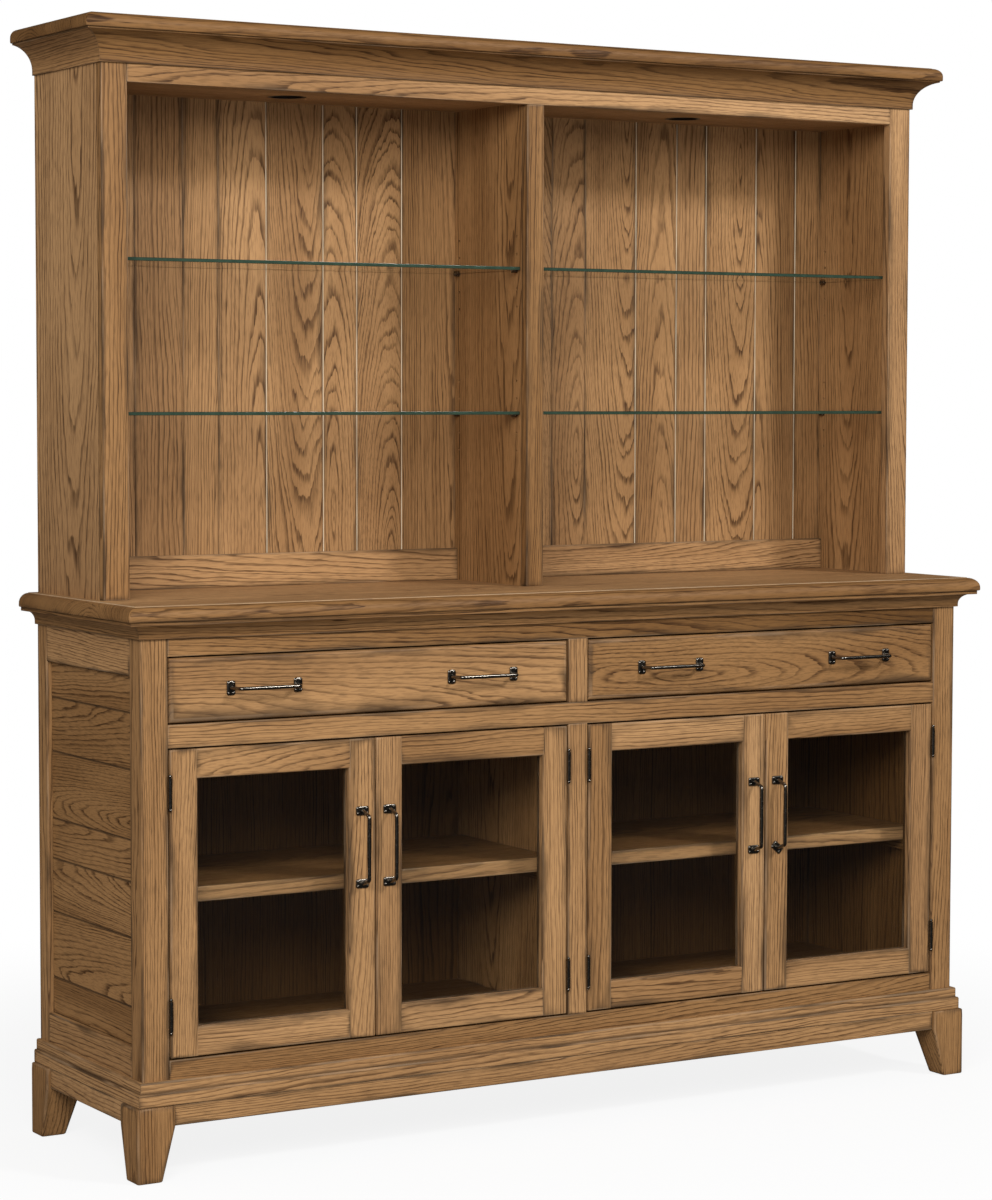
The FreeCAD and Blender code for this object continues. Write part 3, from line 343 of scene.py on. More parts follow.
glaze_dark = (0.046, 0.026, 0.013, 1)
worn_pale_and_glint = (0.480, 0.320, 0.190, 1)
# The colour of pale painted highlights on edges and at open joints.
pale_glint = (0.760, 0.630, 0.450, 1)
smear_least, smear_most, smear_fade = 0.002, 0.016, 1.4
corner_line_width, corner_line_dark = 0.006, 0.65
rub_and_glint_width, rub_and_glint_share = 0.0012, 0.26


def build_glaze_and_wear():
    """A dark smear of uneven width along the arrises, a dark line in the inner corners, a thin pale line on
    the arris itself, partly where the finish is rubbed through and partly a painted highlight, and pale
    painted highlights where a piece has them."""
    tree, given, result = node_group(
        "glaze_and_wear",
        {"Colour": "Color", "Place": "Vector", "Arris": "Float", "Hollow": "Float", "Glint": "Float"},
        {"Colour": "Color"},
    )
    place, arris = given["Place"], given["Arris"]
    smear_width = ramp(tree, noise(tree, place, (7, 24, 24), 6.0), 0.36, 0.70, smear_least, smear_most)
    smear = calc(tree, "SUBTRACT", 1.0, calc(tree, "DIVIDE", arris, smear_width))
    smear = calc(tree, "POWER", calc(tree, "MAXIMUM", smear, 0.0), smear_fade)
    patches = ramp(tree, noise(tree, place, (5, 14, 14), 5.0), 0.36, 0.64, 0.14, 0.84)
    corner_line = ramp(tree, given["Hollow"], 0.0, corner_line_width, corner_line_dark, 0.0)
    dark = calc(tree, "MAXIMUM", calc(tree, "MULTIPLY", smear, patches), corner_line)
    # The pale line on the arris is partly wear and partly a painted highlight.
    on_arris = ramp(tree, arris, 0.0, rub_and_glint_width, 1.0, 0.0)
    rub_and_glint = calc(tree, "MULTIPLY", on_arris, ramp(tree, noise(tree, place, (6, 18, 18)), 0.46, 0.64))
    # The pale painted highlight of a piece comes and goes in patches.
    glint_patches = ramp(tree, noise(tree, place, (9, 60, 60), 3.0), 0.35, 0.6, 0.65, 1.0)
    colour = mixed(tree, dark, given["Colour"], glaze_dark)
    colour = mixed(tree, calc(tree, "MULTIPLY", rub_and_glint, rub_and_glint_share), colour, worn_pale_and_glint)
    colour = mixed(tree, calc(tree, "MULTIPLY", given["Glint"], glint_patches), colour, pale_glint)
    feed(tree, result, {"Colour": colour})
    return tree


oak_figure = build_oak_figure()
glaze_and_wear = build_glaze_and_wear()


def new_material(name):
    """A material with nodes. Gives it, its node tree and its shader."""
    material = bpy.data.materials.new(name)
    material.use_nodes = True
    return material, material.node_tree, material.node_tree.nodes["Principled BSDF"]


lacquer_shine, lacquer_roughness, pore_roughness = 0.18, 0.50, 0.20
pore_relief, pore_depth = 0.25, 0.0006


def oak_material(name, place_from):
    """Stained oak under a satin lacquer. place_from builds the nodes that give the grain's coordinates, the
    tone with any painted shade, the distances from an outer and an inner edge, and the share of painted
    highlight."""
    material, tree, shader = new_material(name)
    grain, tone_and_shade, arris, hollow, glint = place_from(tree)
    wood = shader_node(tree, "ShaderNodeGroup", {"Place": grain, "Tone": tone_and_shade}, node_tree=oak_figure).outputs
    edge_inputs = {"Colour": wood["Colour"], "Place": grain, "Arris": arris, "Hollow": hollow, "Glint": glint}
    edge = shader_node(tree, "ShaderNodeGroup", edge_inputs, node_tree=glaze_and_wear).outputs
    relief = {"Strength": pore_relief, "Distance": pore_depth, "Height": wood["Height"]}
    feed(tree, shader, {
        "Base Color": edge["Colour"],
        "Roughness": calc(tree, "MULTIPLY_ADD", wood["Pores"], pore_roughness, lacquer_roughness),
        "Normal": shader_node(tree, "ShaderNodeBump", relief).outputs[0],
        "Specular IOR Level": lacquer_shine,
    })
    return material


def own_attributes(tree):
    """The grain, the tone with any painted shade, the edge distances and the share of painted highlight that
    a piece carries itself.
    """
    place = shader_node(tree, "ShaderNodeAttribute", attribute_name="grain").outputs["Vector"]
    others = [
        shader_node(tree, "ShaderNodeAttribute", attribute_name=label).outputs["Fac"]
        for label in ("tone_and_shade", "arris", "hollow", "glint")
    ]
    return place, *others


stained_oak = oak_material("stained_oak", own_attributes)


def fit_oak(name, pieces, node, body="carcase"):
    """Puts pieces of stained oak in the place of a CAD node."""
    assembled(name, pieces, stained_oak, body, node)


ALONG_X, ALONG_Y, ALONG_Z = 0, 1, 2
base_low, base_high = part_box("base_posts")
base_end, base_front, base_rear = base_high[0], base_low[1], base_high[1]
carcase_low, carcase_top = base_low[2], base_high[2]
post_width, front_post_depth, rear_post_depth, post_ease = 0.050, 0.045, 0.040, 0.0025
post_tone, post_shade_inside = 0.05, -1.6
# Points of an eased board that are nearer than this to its face belong to that face.
face_depth = 0.003
bay_end = base_end - post_width
posts = []
for side in (-1, 1):
    inner, outer = sorted((side * bay_end, side * base_end))
    posts.append(board(
        (inner, base_front, carcase_low), (outer, base_front + front_post_depth, carcase_top),
        ALONG_Z, ALONG_Y, post_ease, figure=0.65 - 0.25 * side, tone_and_shade=post_tone,
    ))
    rear_post = board(
        (inner, base_rear - rear_post_depth, carcase_low), (outer, base_rear, carcase_top),
        ALONG_Z, ALONG_Y, post_ease, figure=0.9, tone_and_shade=post_tone,
    )
    # Faces of the rear posts seen inside the bays are toned dark as painted shade.
    seen_inside = np.abs(rear_post["points"][:, 0]) < bay_end + face_depth
    rear_post["tone_and_shade"] = np.where(seen_inside, post_shade_inside, post_tone)
    posts.append(rear_post)
fit_oak("base_corner_posts", posts, "base_posts")

# Front rails and centre stiles: flat oak boards framed between the posts round the drawers and doors. The
# rails run right across, the top and middle ones darker towards the right, which on the top rail is painted
# shade under the counter's overhang. The short stiles are set between them.
frame_ease = 0.0010
# Each rail's figure, and its tone at the left and at the right. The top rail's darker right end is painted
# shade.
front_rails = {
    "base_top_rail": (0.4, -0.5, -2.1),
    "base_middle_rail": (0.8, 0.3, -0.2),
    "base_bottom_rail": (0.5, -0.5, -0.5),
}
for node, (figure, left_tone, right_tone_and_shade) in front_rails.items():
    rail = board(*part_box(node), ALONG_X, ALONG_Y, frame_ease, figure)
    rail["tone_and_shade"] = np.interp(rail["points"][:, 0], (-bay_end, bay_end), (left_tone, right_tone_and_shade))
    fit_oak(f"{node}_board", [rail], node)
middle_rail_low, middle_rail_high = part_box("base_middle_rail")
stile_low, stile_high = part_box("base_centre_stiles")
lower_stile_top = (stile_high[0], stile_high[1], middle_rail_low[2])
upper_stile_foot = (stile_low[0], stile_low[1], middle_rail_high[2])
centre_stiles = [
    board(stile_low, lower_stile_top, ALONG_Z, ALONG_Y, frame_ease, figure=0.6),
    board(upper_stile_foot, stile_high, ALONG_Z, ALONG_Y, frame_ease, figure=0.8),
]
fit_oak("base_short_stiles", centre_stiles, "base_centre_stiles")

# Ends of the base: a rail at the top and bottom, and between them random-width planks laid level, with a
# small V where one meets the next. The planks lie in from the face of the rails.
end_low, end_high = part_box("base_side_planks")
rail_low, rail_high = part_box("base_side_rails")
end_rail_thickness, end_plank_thickness = 0.020, 0.012
end_rail_ease, joint_ease, end_figure = 0.0015, 0.0016, 0.3
# The end planks are toned darker than the front, partly at random and partly as painted shade on the ends.
end_plank_tone_and_shade, end_plank_tone_range = -0.70, 0.4
end_plank_shares = np.array((0.104, 0.187, 0.151, 0.114, 0.190, 0.153, 0.101))


def joints(low, high, shares):
    """Where the edges of planks lie that share a length between them."""
    return low + (high - low) * np.concatenate(((0,), np.cumsum(shares)))


plank_edges = joints(end_low[2], end_high[2], end_plank_shares)
# The glaze in a V joint is only a thin line, so distances from it count as more.
joint_line = 6
end_rails, end_planks = [], []
for side in (-1, 1):
    inner, outer = sorted((side * (base_end - end_rail_thickness), side * base_end))
    for low, high in ((rail_low[2], end_low[2]), (end_high[2], rail_high[2])):
        corners = (inner, rail_low[1], low), (outer, rail_high[1], high)
        end_rails.append(board(*corners, ALONG_Y, ALONG_X, end_rail_ease, end_figure))
    inner, outer = sorted((side * (end_high[0] - end_plank_thickness), side * end_high[0]))
    for low, high in zip(plank_edges, plank_edges[1:]):
        tone_and_shade = end_plank_tone_range * oak_draws.random() + end_plank_tone_and_shade
        corners = (inner, end_low[1], low), (outer, end_high[1], high)
        plank = board(*corners, ALONG_Y, ALONG_X, joint_ease, end_figure, tone_and_shade)
        plank["hollow"] = joint_line * plank["arris"]
        plank["arris"] = np.full_like(plank["arris"], no_edge)
        end_planks.append(plank)
fit_oak("base_end_rails", end_rails, "base_side_rails")
fit_oak("base_end_planks", end_planks, "base_side_planks")

# Inside of the base: an oak partition, shelves and thin end linings that show through the glass, a plain
# floor, cleats under the shelves and behind the drawer slides, and a thin plywood back. All are toned darker,
# as painted shade inside the closed case, and the shelves' front lips lighter, as painted light.
partition = board(*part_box("base_partition"), ALONG_Z, ALONG_X, figure=0.5, tone_and_shade=-0.5)
fit_oak("base_middle_partition", [partition], "base_partition")
shelf_low, shelf_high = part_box("base_shelves")
shelf_inner, shelf_ease = 0.011, 0.0020
# The shelf tops are toned dark as painted shade, and their front lips light as painted light.
shelf_lip_lit_tone, shelf_top_shade_tone = 0.8, -1.5
left_shelf_corner = (-shelf_inner, shelf_high[1], shelf_high[2])
right_shelf_corner = (shelf_inner, shelf_low[1], shelf_low[2])
base_shelves = [
    board(shelf_low, left_shelf_corner, ALONG_X, ALONG_Z, shelf_ease, figure=0.2),
    board(right_shelf_corner, shelf_high, ALONG_X, ALONG_Z, shelf_ease, figure=0.3),
]
for shelf in base_shelves:
    lipped = shelf["points"][:, 1] < shelf_low[1] + face_depth
    shelf["tone_and_shade"] = np.where(lipped, shelf_lip_lit_tone, shelf_top_shade_tone)
fit_oak("base_wood_shelves", base_shelves, "base_shelves")


def object_place(turn, shift, tone_and_shade, outside=None, spread=(1, 1, 1)):
    """Grain coordinates for a CAD board, read from its Object coordinates: turned so that the first runs
    along the grain, and shifted to a place of its own in the trunk. It has no edge distances of its own.
    outside gives the depths between which the tone changes, and the tone behind, so that the inside can be
    painted dark as shade. spread widens the rings."""
    def build(tree):
        coordinates = shader_node(tree, "ShaderNodeTexCoord").outputs["Object"]
        mapping = {"Vector": coordinates, "Rotation": turn, "Location": shift, "Scale": spread}
        grain = shader_node(tree, "ShaderNodeMapping", mapping).outputs[0]
        shade = tone_and_shade
        if outside is not None:
            depth = shader_node(tree, "ShaderNodeSeparateXYZ", {0: coordinates}).outputs[1]
            start, end, rear_tone = outside
            shade = ramp(tree, depth, start, end, tone_and_shade, rear_tone)
        return grain, shade, no_edge, no_edge, 0.0
    return build


def dress(node, material):
    """Gives a CAD node that keeps its shape its finish."""
    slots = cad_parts[node].data.materials
    slots.clear()
    slots.append(material)


quarter = math.pi / 2
# Turns of the grain for boards that run level along the front, upright, and from front to back.
level, upright, front_to_back = (0, 0, 0), (0, quarter, 0), (0, 0, -quarter)
# The plywood is toned dark inside, as painted shade of the closed case, and has the tone of plain oak from
# just short of its rear face.
back_outside = (0.219, 0.222, 0.1)
# The linings, floor and cleats are toned dark as painted shade inside the case.
dress("base_linings", oak_material("lining_oak", object_place(upright, (8, 0.5, 0), tone_and_shade=-1.8)))
dress("base_floor", oak_material("floor_oak", object_place(level, (3, 0.07, 0.02), tone_and_shade=-2.0)))
dress("base_cleats", oak_material("cleat_oak", object_place(front_to_back, (5, 0.05, 0.03), tone_and_shade=-1.8)))
back_place = object_place(upright, (7, 0.05, 0.06), tone_and_shade=-2.05, outside=back_outside)
dress("base_back", oak_material("plywood_back", back_place))

# Tops: the counter and the cornice board are thick oak boards with a bold round along the upper edge of the
# front and both ends, square at the rear. The lower edge has only a small ease.


def stacked(low, high, insets, levels, gaps, up, sides, ease):
    """Rectangles stacked along one axis. Each level has how far its sides are drawn in from the full size, as
    far as each of the four sides takes part, and its distance from an arris. up is the axis that the levels
    run along, as a signed number from 1."""
    up_axis = int(abs(up)) - 1
    first, second = [axis for axis in (0, 1, 2) if axis != up_axis]
    rings = []
    for inset in insets:
        left, right = low[first] + inset * sides[0], high[first] - inset * sides[1]
        near, rear = low[second] + inset * sides[2], high[second] - inset * sides[3]
        points = eased_outline(((left, near), (right, near), (right, rear), (left, rear)), ease)[0]
        ring = np.empty((len(points), 3))
        ring[:, first], ring[:, second] = points.T
        rings.append(ring)
    rings = np.array(rings)
    base = low[up_axis] if up > 0 else high[up_axis]
    rings[..., up_axis] = base + math.copysign(1, up) * np.asarray(levels)[:, None]
    gap = np.broadcast_to(np.asarray(gaps)[:, None], rings.shape[:2])
    vertices, faces = skin(rings)
    return vertices, faces, gap.ravel(), np.full(gap.size, no_edge)


top_corner_ease, lower_ease = 0.003, 0.002
# The quirk: a small step where the round meets the flat top, and how strong a pale painted highlight it gets.
quirk, quirk_insets, quirk_start, quirk_glint = 0.0008, np.array((0.0001, 0.0006)), 0.0003, 0.55
top_rings = np.array((0.004, 0.009, 0.02, 0.05, 0.1))
lower_gaps, round_gap, below_round = (0.003, 0.003, 0.004, 0.008), 0.016, 0.0005


def rounded_board(node, radius, figure, tone_and_shade, round_shade_tone):
    """A top board: an eased lower edge, a straight, a quarter round, a small step and a flat top."""
    low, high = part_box(node)
    thickness = high[2] - low[2]
    bend = np.linspace(0, quarter, 9)
    start = thickness - radius - quirk
    inset = np.concatenate((
        (lower_ease, half_turned * lower_ease, 0, 0), radius * (1 - np.cos(bend)),
        radius + quirk_insets, radius + top_rings,
    ))
    levels = np.concatenate((
        (0, half_turned * lower_ease, lower_ease, start - below_round), start + radius * np.sin(bend),
        (thickness - quirk_start, thickness), np.full(len(top_rings), thickness),
    ))
    gap = np.concatenate((lower_gaps, np.full(len(bend), round_gap), (0, 0), top_rings))
    shape = stacked(low, high, inset, levels, gap, 3, (1, 1, 1, 0), top_corner_ease)
    piece = figured(*shape, ALONG_X, ALONG_Z, figure, tone_and_shade)
    # The quirk gets a pale painted highlight.
    piece["glint"] = np.where(piece["arris"] == 0, quirk_glint, 0.0)
    # The round is toned apart from the top, as painted shade.
    piece["tone_and_shade"] = np.where(piece["points"][:, 2] < high[2] - quirk, round_shade_tone, tone_and_shade)
    return piece


# The counter top is toned light, as painted light where the lamps fall on it, and its round dark, as painted
# shade.
counter = rounded_board("base_top", radius=0.018, figure=0.6, tone_and_shade=0.9, round_shade_tone=-0.9)
fit_oak("base_counter", [counter], "base_top")

# Mouldings of the base: a hollow cove under the counter, and a stepped plinth at the foot. Each is milled in
# one length for the front and one for each end, and mitred at the front corners.

# The arrises of a moulding hold a narrower smear of glaze, so distances from them count as more.
moulding_smear = 3


def mitred(node, corners, ease, end, front, rear, figure, tone_and_shade=None, side_tone_and_light=None):
    """Three lengths of a moulding. Its outline runs outwards and up from the case. Along the front a line of
    the outline is longer at each end by as much as it stands out, and along the sides at the front only."""
    foot_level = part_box(node)[0][2]
    points, normals, arris, hollow = eased_outline(corners, ease)
    outline = points, normals, moulding_smear * arris, hollow
    out = points[:, 0]
    shape = carried(outline, -end - out, end + out, 0.0, (0, front, foot_level), 1, -2, 3)
    lengths = [figured(*shape, ALONG_X, ALONG_Y, figure, tone_and_shade)]
    for side in (-1, 1):
        shape = carried(outline, front - out, rear, 0.0, (side * end, 0, foot_level), 2, side, 3)
        lengths.append(figured(*shape, ALONG_Y, ALONG_X, figure, side_tone_and_light))
    return lengths


def hollow_curve(start, end, radius, count):
    """Points of a hollow arc of a radius between two points, its centre on the right of the way from one to
    the other."""
    start, end = np.array(start), np.array(end)
    chord = end - start
    half = np.linalg.norm(chord) / 2
    across = np.array((chord[1], -chord[0])) / (2 * half)
    centre = (start + end) / 2 + across * math.sqrt(radius ** 2 - half ** 2)
    first, last = (math.atan2(*(point - centre)[::-1]) for point in (start, end))
    turn = first + np.linspace(0, 1, count) * ((last - first + math.pi) % (2 * math.pi) - math.pi)
    return (centre + radius * np.stack((np.cos(turn), np.sin(turn)), axis=-1)).tolist()


cove = [
    (0, 0), (0.005, 0), *hollow_curve((0.005, 0.0055), (0.024, 0.0245), radius=0.019, count=9),
    (0.031, 0.0245), (0.031, 0.0315), (0, 0.0315),
]
# The cove under the counter is toned dark as painted shade.
cove_ease, cove_shade_tone = 0.0006, -1.1
cove_moulding = mitred("base_cove_moulding", cove, cove_ease, base_end, base_front, base_rear, figure=0.8)
for length in cove_moulding:
    length["tone_and_shade"] += cove_shade_tone
fit_oak("counter_cove", cove_moulding, "base_cove_moulding")
plinth = [(0, 0), (0.012, 0), (0.012, 0.023), (0.0075, 0.023), (0.0075, 0.0415), (0, 0.0415)]
plinth_eases = (0.0005, 0.001, 0.003, 0.0005, 0.003, 0.0005)
plinth_moulding = mitred("plinth_moulding", plinth, plinth_eases, base_end, base_front, base_rear, figure=0.7)
fit_oak("plinth_steps", plinth_moulding, "plinth_moulding")

# Aprons and feet: an apron board under the plinth between each pair of feet, and four oak feet, square at the
# top and tapered below on their two inner sides, with eased arrises.
apron_low, apron_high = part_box("plinth_aprons")
foot_low, foot_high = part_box("feet")
foot_width, toe_width, foot_ease, foot_figure, foot_tone = 0.070, 0.046, 0.003, 0.7, -0.3
apron_thickness, apron_figure = 0.020, 0.4
foot_end, foot_front, foot_rear, foot_top = foot_high[0], foot_low[1], foot_high[1], foot_high[2]
aprons = [board(
    (foot_width - foot_end, apron_low[1], apron_low[2]),
    (foot_end - foot_width, apron_low[1] + apron_thickness, apron_high[2]),
    ALONG_X, ALONG_Y, figure=apron_figure,
)]
for side in (-1, 1):
    inner, outer = sorted((side * (apron_high[0] - apron_thickness), side * apron_high[0]))
    aprons.append(board(
        (inner, foot_front + foot_width, apron_low[2]), (outer, foot_rear - foot_width, apron_high[2]),
        ALONG_Y, ALONG_X, figure=apron_figure,
    ))
fit_oak("plinth_apron_boards", aprons, "plinth_aprons")
# Levels of a foot's rings, how far each is drawn in for the eased ends, and its distance from an arris.
foot_levels = np.array(
    (0, 0.0008, 0.0025, 0.010, 0.04, 0.082, apron_low[2], 0.097, 0.115, foot_top - 0.0015, foot_top)
)
foot_insets = np.array((0.0025, 0.0008, 0, 0, 0, 0, 0, 0, 0, 0.0004, 0.0015))
foot_gaps = np.append(np.minimum(foot_levels[:-5], 0.03), (0.03, 0.02, 0.008, 0.0, 0.0))


def foot(side, front):
    """A foot: rings from a small bevel at the floor, up the taper, and straight beside the apron."""
    width = np.interp(foot_levels, (0, apron_low[2], foot_top), (toe_width, foot_width, foot_width))
    outlines = []
    for size, inset in zip(width, foot_insets):
        left, right = sorted((side * foot_end, side * (foot_end - size)))
        face, back = (foot_front, foot_front + size) if front else (foot_rear - size, foot_rear)
        left, right, face, back = left + inset, right - inset, face + inset, back - inset
        outlines.append(eased_outline(((left, face), (right, face), (right, back), (left, back)), foot_ease))
    points = np.array([outline[0] for outline in outlines])
    arris = np.minimum(np.array([outline[2] for outline in outlines]), foot_gaps[:, None])
    heights = np.broadcast_to(foot_levels[:, None, None], points.shape[:2] + (1,))
    shape = skin(np.concatenate((points, heights), axis=-1))
    hollow = np.full(arris.size, no_edge)
    return figured(*shape, arris.ravel(), hollow, ALONG_Z, ALONG_Y, foot_figure, foot_tone)


feet = [foot(side, front) for side in (-1, 1) for front in (True, False)]
fit_oak("tapered_feet", feet, "feet")

# Hutch case: oak sides and a divider drilled for the shelf pins, a front frame of stiles and a top rail, a
# ceiling with lamp holes, and a back of random-width upright planks with a V at each joint.
stile_low, stile_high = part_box("hutch_stiles")
rail_low, rail_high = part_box("hutch_top_rail")
hutch_end, hutch_front = stile_high[0], stile_low[1]
middle_stile_half, hutch_ease = 0.018, 0.0015
left_stile_corner = (rail_low[0], stile_high[1], stile_high[2])
right_stile_corner = (rail_high[0], stile_low[1], stile_low[2])
middle_stile_foot = (-middle_stile_half, stile_low[1], stile_low[2])
middle_stile_top = (middle_stile_half, stile_high[1], rail_low[2])
hutch_stiles = [
    board(stile_low, left_stile_corner, ALONG_Z, ALONG_Y, hutch_ease, figure=0.95, tone_and_shade=-0.25),
    # The right stile is toned light as painted light on the right of the hutch.
    board(right_stile_corner, stile_high, ALONG_Z, ALONG_Y, hutch_ease, figure=0.4, tone_and_shade=1.2),
    board(middle_stile_foot, middle_stile_top, ALONG_Z, ALONG_Y, hutch_ease, figure=0.8, tone_and_shade=-0.6),
]
fit_oak("hutch_front_stiles", hutch_stiles, "hutch_stiles")
# The hutch rail is toned lighter towards the right, as painted light.
hutch_rail_tones_and_light = (-0.1, 1.8)
hutch_rail = board(rail_low, rail_high, ALONG_X, ALONG_Y, figure=0.55)
hutch_rail["tone_and_shade"] = np.interp(hutch_rail["points"][:, 0], (rail_low[0], rail_high[0]), hutch_rail_tones_and_light)
fit_oak("hutch_front_rail", [hutch_rail], "hutch_top_rail")
leaning = (0.0, quarter + 0.04, 0.01)
wide_rings = (0.5, 0.5, 1)
left_side_place = object_place(leaning, (2, -0.045, -0.345), tone_and_shade=1.0, spread=wide_rings)
dress("hutch_left_side", oak_material("left_side_oak", left_side_place))
dress("hutch_right_side", oak_material("right_side_oak", object_place(leaning, (6, -0.13, 0.95), tone_and_shade=0.1)))
dress("hutch_divider", oak_material("divider_oak", object_place(leaning, (9, -0.02, 0.12), tone_and_shade=-0.2)))
dress("hutch_ceiling", oak_material("ceiling_oak", object_place(level, (4, 0.02, -1.80), tone_and_shade=0.3)))
plank_low, plank_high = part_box("hutch_back_planks")
plank_shares = np.array((
    0.046, 0.048, 0.057, 0.042, 0.058, 0.070, 0.042, 0.057, 0.070,
    0.058, 0.070, 0.045, 0.070, 0.057, 0.042, 0.072, 0.058, 0.038,
))
plank_figures = (0.9, 0.8, 0.9, 0.6, 0.3, 0.05, 0.0, 0.1, 0.5, 0.6, 0.0, 0.1, 0.3, 0.0, 0.6, 0.1, 0.3, 0.8)
plank_tone, plank_tone_range = 0.10, 0.8
plank_edges = joints(plank_low[0], plank_high[0], plank_shares)
# Planks whose left edge gets a pale painted highlight, as light at a joint where they have shrunk from the
# next, and the size of that edge.
open_joints = (5, 6, 7, 8, 13, 14, 15, 16, 17)
open_width, open_depth, open_joint_glint = 0.0012, 0.004, 0.85
back_planks = []
for index, figure in enumerate(plank_figures):
    left, right = plank_edges[index], plank_edges[index + 1]
    tone_and_shade = plank_tone_range * oak_draws.random() + plank_tone
    plank = board(
        (left, plank_low[1], plank_low[2]), (right, plank_high[1], plank_high[2]),
        ALONG_Z, ALONG_Y, joint_ease, figure, tone_and_shade,
    )
    across, depth = plank["points"][:, 0] - left, plank["points"][:, 1] - plank_low[1]
    on_edge = (across < open_width) & (depth < open_depth)
    plank["glint"] = np.where(on_edge & (index in open_joints), open_joint_glint, 0.0)
    back_planks.append(plank)
fit_oak("hutch_planks", back_planks, "hutch_back_planks")
rail_low, rail_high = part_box("hutch_back_rails")
left_rail_corner = (-middle_stile_half, rail_high[1], rail_high[2])
right_rail_corner = (middle_stile_half, rail_low[1], rail_low[2])
back_rails = [
    board(rail_low, left_rail_corner, ALONG_X, ALONG_Y, hutch_ease, figure=0.3),
    board(right_rail_corner, rail_high, ALONG_X, ALONG_Y, hutch_ease, figure=0.4),
]
fit_oak("hutch_lower_back_rails", back_rails, "hutch_back_rails")

# Cornice: a deep oak cove mitred round the hutch, in three lengths, under a thick board with the same rounded
# edge as the counter. The step above its round is filled with glaze and has no pale painted highlight.
hutch_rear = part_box("hutch_left_side")[1][1]
deep_cove = [
    (0, 0), (0.004, 0), *hollow_curve((0.004, 0.006), (0.041, 0.051), radius=0.044, count=13),
    (0.041, 0.0535), (0, 0.0535),
]
deep_cove_ease = 0.0005
# The cornice cove is toned dark along the front as painted shade, and lighter on its ends as painted light.
cornice_cove = mitred(
    "cornice_cove", deep_cove, deep_cove_ease, hutch_end, hutch_front, hutch_rear,
    figure=0.95, tone_and_shade=-1.35, side_tone_and_light=0.1,
)
fit_oak("cornice_deep_cove", cornice_cove, "cornice_cove")
# The cornice board is toned dark on its top and darker on its round, as painted shade.
cornice = rounded_board("cornice_top", radius=0.015, figure=0.9, tone_and_shade=-0.8, round_shade_tone=-1.3)
cornice["hollow"] = np.where(cornice["arris"] == 0, 0.0, no_edge)
beyond_rub_and_glint = 0.0015
cornice["arris"] = np.maximum(cornice["arris"], beyond_rub_and_glint)
cornice["glint"] = np.zeros_like(cornice["glint"])
fit_oak("cornice_board", [cornice], "cornice_top")

# Lamps: a small recessed can of dark metal in the ceiling over each bay, pushed up into its hole, with a
# frosted lens below. Both are unlit.


def plain_material(name, colour, roughness, metallic=0.0, mottle=0.08, scale=90.0):
    """A finish with a slight mottle in its colour and roughness, on Object coordinates."""
    material, tree, shader = new_material(name)
    coordinates = shader_node(tree, "ShaderNodeTexCoord").outputs["Object"]
    mottling = noise(tree, coordinates, (scale, scale, scale), 3.0)
    darker = tuple(channel * (1 - 3 * mottle) for channel in colour) + (1,)
    feed(tree, shader, {
        "Base Color": mixed(tree, ramp(tree, mottling, 0.3, 0.7), darker, colour + (1,)),
        "Roughness": calc(tree, "MULTIPLY_ADD", mottling, 2 * mottle, roughness - mottle),
        "Metallic": metallic,
    })
    return material


dress("lamp_housings", plain_material("lamp_metal", (0.035, 0.030, 0.026), roughness=0.40, metallic=0.6))
dress("lamp_lenses", plain_material("lamp_lens", (0.30, 0.28, 0.25), roughness=0.55))

# Glass shelves: four panes of clear float glass with polished edges, which look dark green because light runs
# through the length of the pane. They lie on dark metal pins with flat blades.

# How much glass bends light, how rough its smears are, and what passes each face of the light from around.
glass_bending, glass_smear, passed_around = 1.46, 0.03, 0.96


def glass_material(name, colour, passed):
    """Clear glass that bends what is seen through it. A share of the lamps' light passes each face and falls
    on what is behind, and nearly all of the light from around. Faint smears from wiping roughen it."""
    material, tree, shader = new_material(name)
    coordinates = shader_node(tree, "ShaderNodeTexCoord").outputs["Object"]
    wiped = noise(tree, coordinates, (9, 9, 4), 4.0)
    feed(tree, shader, {
        "Base Color": colour + (1,),
        "Roughness": ramp(tree, wiped, 0.45, 0.75, 0.0, glass_smear),
        "IOR": glass_bending,
        "Transmission Weight": 1.0,
    })
    path = shader_node(tree, "ShaderNodeLightPath").outputs
    falling = calc(tree, "MAXIMUM", path["Is Shadow Ray"], path["Is Diffuse Ray"])
    share = ramp(tree, path["Is Shadow Ray"], 0.0, 1.0, passed_around, passed)
    clear = shader_node(tree, "ShaderNodeBsdfTransparent", {"Color": share})
    both = shader_node(tree, "ShaderNodeMixShader", {0: falling, 1: shader.outputs[0], 2: clear.outputs[0]})
    feed(tree, tree.nodes["Material Output"], {"Surface": both.outputs[0]})
    return material


shelf_glass = glass_material("shelf_glass", (0.86, 0.93, 0.90), passed=0.86)
shelf_edge = plain_material("shelf_glass_edge", (0.034, 0.060, 0.040), roughness=0.12)
shelf_low, shelf_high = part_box("glass_shelves")
pane_inner, pane_thickness, pane_ease = 0.0195, 0.006, 0.0006
panes = []
for pane_low in (shelf_low[2], shelf_high[2] - pane_thickness):
    pane_high = pane_low + pane_thickness
    for left, right in ((shelf_low[0], -pane_inner), (pane_inner, shelf_high[0])):
        corners = (left, shelf_low[1], pane_low), (right, shelf_high[1], pane_high)
        panes.append(board(*corners, ALONG_X, ALONG_Z, pane_ease))
shelves = assembled("hutch_glass_panes", panes, shelf_glass, "carcase", "glass_shelves")
shelves.data.materials.append(shelf_edge)
face_normals = np.empty(len(shelves.data.polygons) * 3)
shelves.data.polygons.foreach_get("normal", face_normals)
upright_faces = (np.abs(face_normals.reshape(-1, 3)[:, 2]) < 0.5).astype(np.int32)
shelves.data.polygons.foreach_set("material_index", upright_faces)
